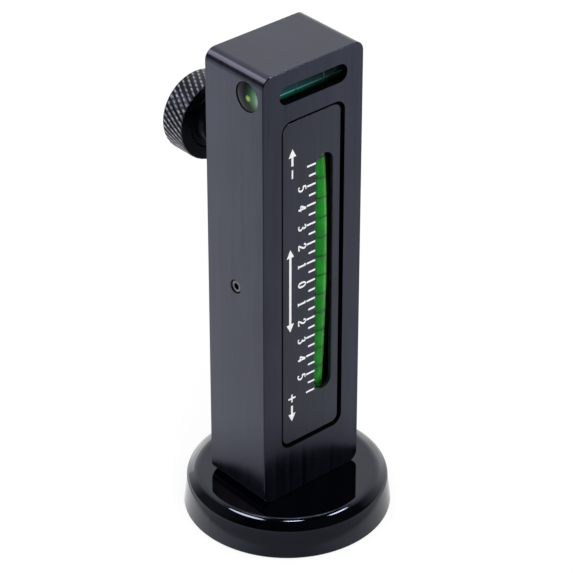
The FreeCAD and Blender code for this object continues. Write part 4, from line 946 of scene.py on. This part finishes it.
# %% Build the scale's tree
tree, given = start_tree(
    "scale_lines",
    {
        "Lines": ("NodeSocketInt", 25),
        "Step": ("NodeSocketFloat", 0.003),
        "Long line": ("NodeSocketFloat", 0.0034),
        "Short line": ("NodeSocketFloat", 0.0024),
        "Short ones first": ("NodeSocketInt", 0),
        "Stroke": ("NodeSocketFloat", 0.0005),
        "Ink": ("NodeSocketFloat", 0.00003),
        "Finish": ("NodeSocketMaterial", None),
    },
)
bar = add_node(
    tree,
    "GeometryNodeCurvePrimitiveQuadrilateral",
    Width=given["Long line"],
    Height=given["Stroke"],
)
soft = add_node(tree, "GeometryNodeFilletCurve", {"mode": "POLY"}, Curve=bar.outputs[0], Count=3)
feed(tree, maths(tree, "MULTIPLY", given["Stroke"], 0.3), soft.inputs["Radius"])
flat = add_node(tree, "GeometryNodeFillCurve", {"mode": "NGONS"}, Curve=soft.outputs[0])
aside = add_node(tree, "ShaderNodeCombineXYZ", X=maths(tree, "DIVIDE", given["Long line"], -2.0))
moved = add_node(
    tree, "GeometryNodeTransform", Geometry=flat.outputs[0], Translation=aside.outputs[0]
)
raised = add_node(tree, "GeometryNodeExtrudeMesh", Mesh=moved.outputs[0], Offset_Scale=given["Ink"])
underside = add_node(tree, "GeometryNodeFlipFaces", Mesh=moved.outputs[0])
closed = tree.nodes.new("GeometryNodeJoinGeometry")
tree.links.new(raised.outputs[0], closed.inputs[0])
tree.links.new(underside.outputs[0], closed.inputs[0])
welded = add_node(tree, "GeometryNodeMergeByDistance", Geometry=closed.outputs[0], Distance=1e-7)

# %% Place the lines of the scale
upwards = add_node(tree, "ShaderNodeCombineXYZ", Y=given["Step"])
reach = maths(tree, "MULTIPLY", maths(tree, "SUBTRACT", given["Lines"], 1.0), given["Step"])
lowest = add_node(tree, "ShaderNodeCombineXYZ", Y=maths(tree, "DIVIDE", reach, -2.0))
places = add_node(
    tree,
    "GeometryNodeMeshLine",
    Count=given["Lines"],
    Start_Location=lowest.outputs[0],
    Offset=upwards.outputs[0],
)
index = tree.nodes.new("GeometryNodeInputIndex").outputs[0]
number = maths(tree, "ADD", index, given["Short ones first"])
short = maths(tree, "MODULO", number, 2.0)
spare = maths(tree, "SUBTRACT", 1.0, maths(tree, "DIVIDE", given["Short line"], given["Long line"]))
squeeze = maths(tree, "SUBTRACT", 1.0, maths(tree, "MULTIPLY", short, spare))
size = add_node(tree, "ShaderNodeCombineXYZ", X=squeeze, Y=1.0, Z=1.0)
lines = add_node(
    tree,
    "GeometryNodeInstanceOnPoints",
    Points=places.outputs[0],
    Instance=welded.outputs[0],
    Scale=size.outputs[0],
)
end_tree(tree, lines.outputs[0], given["Finish"])
scale_tree = tree
print("the scale's tree has", len(tree.nodes), "nodes")

# %% [markdown]
# ## Numerals from a broad pen
#
# The numerals are upright roman ones, thick where a stroke goes up or down and thin where it goes
# across. A broad pen writes that way, so each numeral is the path of a pen: a few points, a smooth
# line through them, and a ribbon whose width follows its direction. A font would need a file.

# %% Write with a broad pen
numerals = {
    "0": [
        [
            *((0.31, 0.95), (0.12, 0.78), (0.08, 0.5), (0.12, 0.22), (0.31, 0.05)),
            *((0.50, 0.22), (0.54, 0.5), (0.50, 0.78), (0.31, 0.95)),
        ],
    ],
    "1": [[(0.33, 0.03), (0.33, 0.96)], [(0.16, 0.80), (0.33, 0.93)], [(0.15, 0.04), (0.51, 0.04)]],
    "2": [
        [
            *((0.09, 0.72), (0.15, 0.90), (0.32, 0.95), (0.49, 0.83)),
            *((0.49, 0.66), (0.33, 0.38), (0.08, 0.06)),
        ],
        [(0.08, 0.06), (0.56, 0.06)],
        [(0.56, 0.06), (0.58, 0.20)],
    ],
    "3": [
        [(0.10, 0.80), (0.21, 0.94), (0.38, 0.92), (0.46, 0.76), (0.38, 0.60), (0.24, 0.54)],
        [(0.24, 0.54), (0.42, 0.50), (0.53, 0.32), (0.46, 0.12), (0.27, 0.04), (0.08, 0.14)],
    ],
    "4": [[(0.42, 0.03), (0.42, 0.96)], [(0.42, 0.96), (0.04, 0.30)], [(0.04, 0.30), (0.60, 0.30)]],
    "5": [
        [(0.50, 0.93), (0.16, 0.93)],
        [(0.16, 0.93), (0.12, 0.56)],
        [
            *((0.12, 0.56), (0.33, 0.60), (0.51, 0.46), (0.52, 0.24)),
            *((0.36, 0.06), (0.17, 0.04), (0.06, 0.14)),
        ],
    ],
    "minus": [[(0.05, 0.5), (0.95, 0.5)]],
    "plus": [[(0.05, 0.5), (0.95, 0.5)], [(0.5, 0.05), (0.5, 0.95)]],
}


def smooth_line(points, pieces=6):
    if len(points) == 2:
        return [Vector(p) for p in points]
    closed = points[0] == points[-1]
    before, after = (points[-2], points[1]) if closed else (points[0], points[-1])
    knots = [Vector(p) for p in (before, *points, after)]
    made = []
    for a, b, c, d in zip(knots, knots[1:], knots[2:], knots[3:]):
        for step in range(pieces):
            t = step / pieces
            bend = (2 * a - 5 * b + 4 * c - d) * t**2 + (3 * b - a - 3 * c + d) * t**3
            made.append(0.5 * (2 * b + (c - a) * t + bend))
    return made + [Vector(points[-1])]


def pen_ribbon(shape, points, thin, thick):
    """Adds the ribbon of one stroke, in the flat, to a bmesh."""
    line = smooth_line(points)
    closed = points[0] == points[-1]
    pairs = []
    for i, point in enumerate(line):
        last = len(line) - 1
        before = line[i - 1] if i else (line[-2] if closed else line[0])
        after = line[i + 1] if i < last else (line[1] if closed else line[last])
        direction = (after - before).normalized()
        half = (thin + (thick - thin) * abs(direction.y) ** 1.5) / 2
        aside = Vector((-direction.y, direction.x)) * half
        pairs.append([shape.verts.new((*(point + side), 0)) for side in (aside, -aside)])
    for (a, b), (c, d) in zip(pairs, pairs[1:]):
        shape.faces.new((a, b, d, c))


def write_sign(shape, sign, height, turn_and_place, thin=0.11, thick=0.20):
    """Writes one sign, a tall, into a bmesh, and puts it where it belongs."""
    first = len(shape.verts)
    for stroke in numerals[sign]:
        pen_ribbon(shape, stroke, thin, thick)
    shape.verts.ensure_lookup_table()
    new = [shape.verts[i] for i in range(first, len(shape.verts))]
    for vert in new:
        vert.co = turn_and_place @ (vert.co * height)
    return new


# %% [markdown]
# The signs are turned a quarter to the right, as on the real plates, because the gauge lies on its
# side when it is read. `written_sideways` gives that turn and the place on the plate. The print is
# made lying flat, and `on_plate` stands it up on the front plate or, turned about, on the rear one.

# %% Place the print on the plates
def written_sideways(left, level, width, height):
    """Turns a sign a quarter right: its foot is at the left and it is centred on that level."""
    quarter = Matrix(((0, 1, 0), (-1, 0, 0), (0, 0, 1))).to_4x4()
    return Matrix.Translation((left, level + width * height / 2, 0)) @ quarter


def on_plate(face, front):
    side = 1 if front else -1
    stand = Matrix(((side, 0, 0), (0, 0, -side), (0, 1, 0))).to_4x4()
    return Matrix.Translation((0, face, zero_height)) @ stand


def raise_ink(shape, ink):
    bmesh.ops.recalc_face_normals(shape, faces=shape.faces)
    for face in shape.faces:
        if face.normal.z < 0:
            face.normal_flip()
    flat = list(shape.faces)
    made = bmesh.ops.extrude_face_region(shape, geom=flat, use_keep_orig=True)
    for item in made["geom"]:
        if isinstance(item, bmesh.types.BMVert):
            item.co.z += ink
    for face in flat:
        face.normal_flip()
    bmesh.ops.recalc_face_normals(shape, faces=shape.faces)


def arrow(shape, x, tail, tip, stroke, heads=1):
    """An upright arrow: a line with a pointed head at its tip, or one at each end."""
    way = 1 if tip > tail else -1
    head, half = 2.6 * MM, 1.35 * MM
    ring = [(x + stroke / 2, tip - way * head), (x + half, tip - way * head), (x, tip)]
    ring += [(x - half, tip - way * head), (x - stroke / 2, tip - way * head)]
    if heads == 2:
        ring += [(x - stroke / 2, tail + way * head), (x - half, tail + way * head), (x, tail)]
        ring += [(x + half, tail + way * head), (x + stroke / 2, tail + way * head)]
    else:
        ring += [(x - stroke / 2, tail), (x + stroke / 2, tail)]
    shape.faces.new([shape.verts.new((a, b, 0)) for a, b in ring])


def scale_lines(degree, reach, edge, ink):
    """The lines of one scale as a mesh, every half degree to reach degrees each way from zero."""
    row = bpy.data.objects.new("scale_lines", bpy.data.meshes.new("scale_lines"))
    bpy.context.scene.collection.objects.link(row)
    use_tree(
        row,
        scale_tree,
        Lines=int(4 * reach) + 1,
        Step=degree / 2,
        Long_line=3.2 * MM,
        Short_line=2.5 * MM,
        Short_ones_first=int(2 * reach) % 2,
        Stroke=0.6 * MM,
        Ink=ink,
        Finish=white_ink,
    )
    mesh = made_plain(row).data
    mesh.transform(Matrix.Translation((edge, 0, 0)))
    bpy.data.objects.remove(row)
    return mesh


def print_plate(name, place, degree, reach, highest, edge):
    """All the print of one plate: lines, numerals up to highest, signs and a two-headed arrow."""
    ink, tall = 0.03 * MM, 3.0 * MM
    number_foot, sign_foot, long_arrow = (edge - left * MM for left in (6.4, 10.1, 9.3))
    past_numbers, arrow_gap, arrow_length = 5.9 * MM, 2.6 * MM, 5.4 * MM
    shape = bmesh.new()
    for number in range(-highest, highest + 1):
        sideways = written_sideways(number_foot, number * degree, 0.62, tall)
        write_sign(shape, str(abs(number)), tall, sideways)
    for sign, way in (("minus", 1), ("plus", -1)):
        level = way * (highest * degree + past_numbers)
        write_sign(shape, sign, tall, written_sideways(sign_foot, level, 1.0, tall), 0.17, 0.2)
        start = level + way * arrow_gap
        arrow(shape, sign_foot + tall / 2, start, start + way * arrow_length, 0.7 * MM)
    arrow(shape, long_arrow, -14.2 * MM, 13.2 * MM, 0.8 * MM, heads=2)
    raise_ink(shape, ink)
    shape.from_mesh(scale_lines(degree, reach, edge, ink))
    mesh = bpy.data.meshes.new(name)
    shape.to_mesh(mesh)
    shape.free()
    mesh.transform(place)
    mesh.materials.append(white_ink)
    piece = bpy.data.objects.new(name, mesh)
    bpy.context.scene.collection.objects.link(piece)
    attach(piece, "housing")
    print(name, "has", len(mesh.polygons), "faces")


sink = 0.01 * MM
front_place = on_plate(front_face + sink, True)
rear_place = on_plate(rear_face - sink, False)
print_plate("camber_scale_print", front_place, 6.283 * MM, 6.0, 5, 1.42 * MM)
print_plate("caster_scale_print", rear_place, 5.236 * MM, 4.5, 4, 3.12 * MM)

# %% [markdown]
# ## Floor, background and light
#
# The gauge stands on a plain pale sheet that runs back into a white background. For the camera, and
# for light that has gone through clear plastic, sheet and background show as white. Soft light,
# which bounces off dull surfaces, finds them a plain grey, so the white doesn't wash the black
# gauge out. The sheet lies a hair under the gauge, so that the two skins don't fight for the same
# place, and it is made see-through from below, so that the gauge's underside can be looked at.

# %% Lay the floor
floor_reach, floor_z = 6, -0.03 * MM
floor_mesh = bpy.data.meshes.new("pale_floor")
signs = ((-1, -1), (1, -1), (1, 1), (-1, 1))
corners = [(x * floor_reach, y * floor_reach, floor_z) for x, y in signs]
floor_mesh.from_pydata(corners, [], [(0, 1, 2, 3)])
floor = bpy.data.objects.new("pale_floor", floor_mesh)
bpy.context.scene.collection.objects.link(floor)
print("the floor is", 2 * floor_reach, "m wide")

# %% [markdown]
# A black gloss is seen almost only by what it mirrors. A studio stands pale and dark cards round
# such a thing, until each face has a tone of its own. Here the sheet and the background do the
# cards' work: what they show in a mirror gets paler or darker from place to place, and it stays
# where it is when the camera moves. The sheet is darkest close round the base, with a paler ring
# against the cup's wall, and palest behind the gauge.

# %% What the floor shows in a mirror
paper = bpy.data.materials.new("pale_floor")
paper.use_nodes = True
tree = paper.node_tree
tree.nodes.clear()
place = add_node(tree, "ShaderNodeTexCoord").outputs["Object"]
away = add_node(tree, "ShaderNodeVectorMath", {"operation": "LENGTH"}, Vector=place)
away = away.outputs["Value"]
to_left_back, to_right_back, to_left_front, to_right_front = (
    distance_along(tree, place, direction)
    for direction in ((-0.66, 0.75, 0), (0.75, 0.66, 0), (-0.66, -0.75, 0), (0.75, -0.66, 0))
)
left_card = spread(paper, to_left_back, -40 * MM, 40 * MM, 0.42, 0.78)
back_card = spread(paper, to_right_back, -50 * MM, 40 * MM, 0.72, 2.05)
near_base = spread(paper, away, 32 * MM, 62 * MM, 0.18, 1.0)
front_card = spread(paper, to_left_front, 15 * MM, 30 * MM, 0.0, 0.5)
beside_base = maths(tree, "ABSOLUTE", to_right_front)
ring = product(
    tree,
    spread(paper, beside_base, 6 * MM, 20 * MM, 0.45, 1.1),
    spread(paper, away, 38 * MM, 42 * MM, 1.0, 0.0),
)
near_base = maths(tree, "MAXIMUM", maths(tree, "MAXIMUM", near_base, front_card), ring)
in_mirror = product(tree, left_card, near_base, back_card)
print("the floor's cards use", len(tree.nodes), "nodes")

# %% The floor's paper
def seen_straight(tree, path):
    """1 for the camera and for light through clear plastic, else 0."""
    return maths(tree, "MAXIMUM", path["Is Camera Ray"], path["Is Transmission Ray"])


paper_grey, paper_glow = (0.25, 0.25, 0.25, 1), 0.80
path = tree.nodes.new("ShaderNodeLightPath").outputs
mirrored = maths(tree, "MULTIPLY", path["Is Glossy Ray"], in_mirror)
glow = maths(tree, "MULTIPLY_ADD", seen_straight(tree, path), paper_glow, mirrored)
dull = add_node(tree, "ShaderNodeBsdfDiffuse", Color=paper_grey)
bright = add_node(tree, "ShaderNodeEmission", Color=(1, 1, 1, 1), Strength=glow)
both = tree.nodes.new("ShaderNodeAddShader")
from_below = add_node(tree, "ShaderNodeNewGeometry").outputs["Backfacing"]
clear = tree.nodes.new("ShaderNodeBsdfTransparent")
one_sided = tree.nodes.new("ShaderNodeMixShader")
end = tree.nodes.new("ShaderNodeOutputMaterial")
for source, socket in (
    (dull.outputs[0], both.inputs[0]),
    (bright.outputs[0], both.inputs[1]),
    (from_below, one_sided.inputs[0]),
    (both.outputs[0], one_sided.inputs[1]),
    (clear.outputs[0], one_sided.inputs[2]),
    (one_sided.outputs[0], end.inputs["Surface"]),
):
    tree.links.new(source, socket)
floor_mesh.materials.append(paper)
print("laid", paper.name)

# %% [markdown]
# The background's wall is pale up to a good height and dark above it. It is darker in front of the
# gauge, and darker to its left, than behind it.

# %% The background
plain_light = 0.78
world = bpy.data.worlds.new("white_background")
bpy.context.scene.world = world
world.use_nodes = True
tree = world.node_tree
direction = add_node(tree, "ShaderNodeTexCoord").outputs["Generated"]
sideways, _, upwards = add_node(tree, "ShaderNodeSeparateXYZ", Vector=direction).outputs
behind = distance_along(tree, direction, (0.35, 0.94, 0))
wall = product(
    tree,
    spread(world, upwards, 0.78, 0.87, 1.12, 0.04),
    spread(world, behind, -0.3, 0.3, 0.04, 1.0),
    spread(world, sideways, -0.45, -0.1, 0.15, 1.0),
)
path = tree.nodes.new("ShaderNodeLightPath").outputs
strength = blend(tree, path["Is Glossy Ray"], plain_light, wall)
strength = blend(tree, seen_straight(tree, path), strength, 1.0)
feed(tree, strength, tree.nodes["Background"].inputs["Strength"])
tree.nodes["Background"].inputs["Color"].default_value = (1, 1, 1, 1)
print("floor and background are white, plain light is", plain_light)

# %% [markdown]
# Soft panels do the rest. Each is an area lamp that looks at the gauge from a bearing and a height.
# The key panel lights what is dull, such as the ink and the liquid, and stays out of mirrors. The
# three softboxes do the opposite: they only show as highlights, one for each bright stretch along
# the cup's rim. The edge softbox hangs close by, behind on the left, and draws a warm highlight on
# the block's rounded left edge near its top. Light linking lets it fall on the block alone, because
# it would put a false highlight on other pieces.

# %% Hang the lamps
lamp_target = Vector((0, 0, 80 * MM))


def hang_lamp(name, bearing, height, distance, size, power, flat=1.0, colour=(1, 1, 1)):
    """An area lamp at two angles in degrees; flat is its height as a share of its width."""
    towards = seen_from(math.radians(bearing), math.radians(height))
    lamp = bpy.data.objects.new(name, bpy.data.lights.new(name, "AREA"))
    bpy.context.scene.collection.objects.link(lamp)
    lamp.data.shape = "ELLIPSE"
    lamp.data.size, lamp.data.size_y = size, size * flat
    lamp.data.energy, lamp.data.color = power, colour
    lamp.location = lamp_target + towards * distance
    lamp.rotation_euler = towards.to_track_quat("Z", "Y").to_euler()
    return lamp


key = hang_lamp("key_panel", -30, 35, 1.0, 0.8, 4.0)
key.visible_glossy = False
warm_white = (1.0, 0.84, 0.76)
edge_lamp = hang_lamp("edge_softbox", -148, 44.7, 0.403, 0.2, 0.43, colour=warm_white)
edge_lamp.visible_diffuse = False
lit_by_edge = bpy.data.collections.new("lit_by_edge_softbox")
lit_by_edge.objects.link(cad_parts["body_block"])
edge_lamp.light_linking.receiver_collection = lit_by_edge
softbox_distance, softbox_flat = 1.2, 0.55
for name, bearing, height, size, power in (
    ("left_softbox", -118.5, 61.5, 0.78, 16.0),
    ("middle_softbox", -25, 73.3, 0.295, 6.0),
    ("right_softbox", 48.7, 55.5, 0.466, 8.0),
):
    softbox = hang_lamp(name, bearing, height, softbox_distance, size, power, softbox_flat)
    softbox.visible_diffuse = False
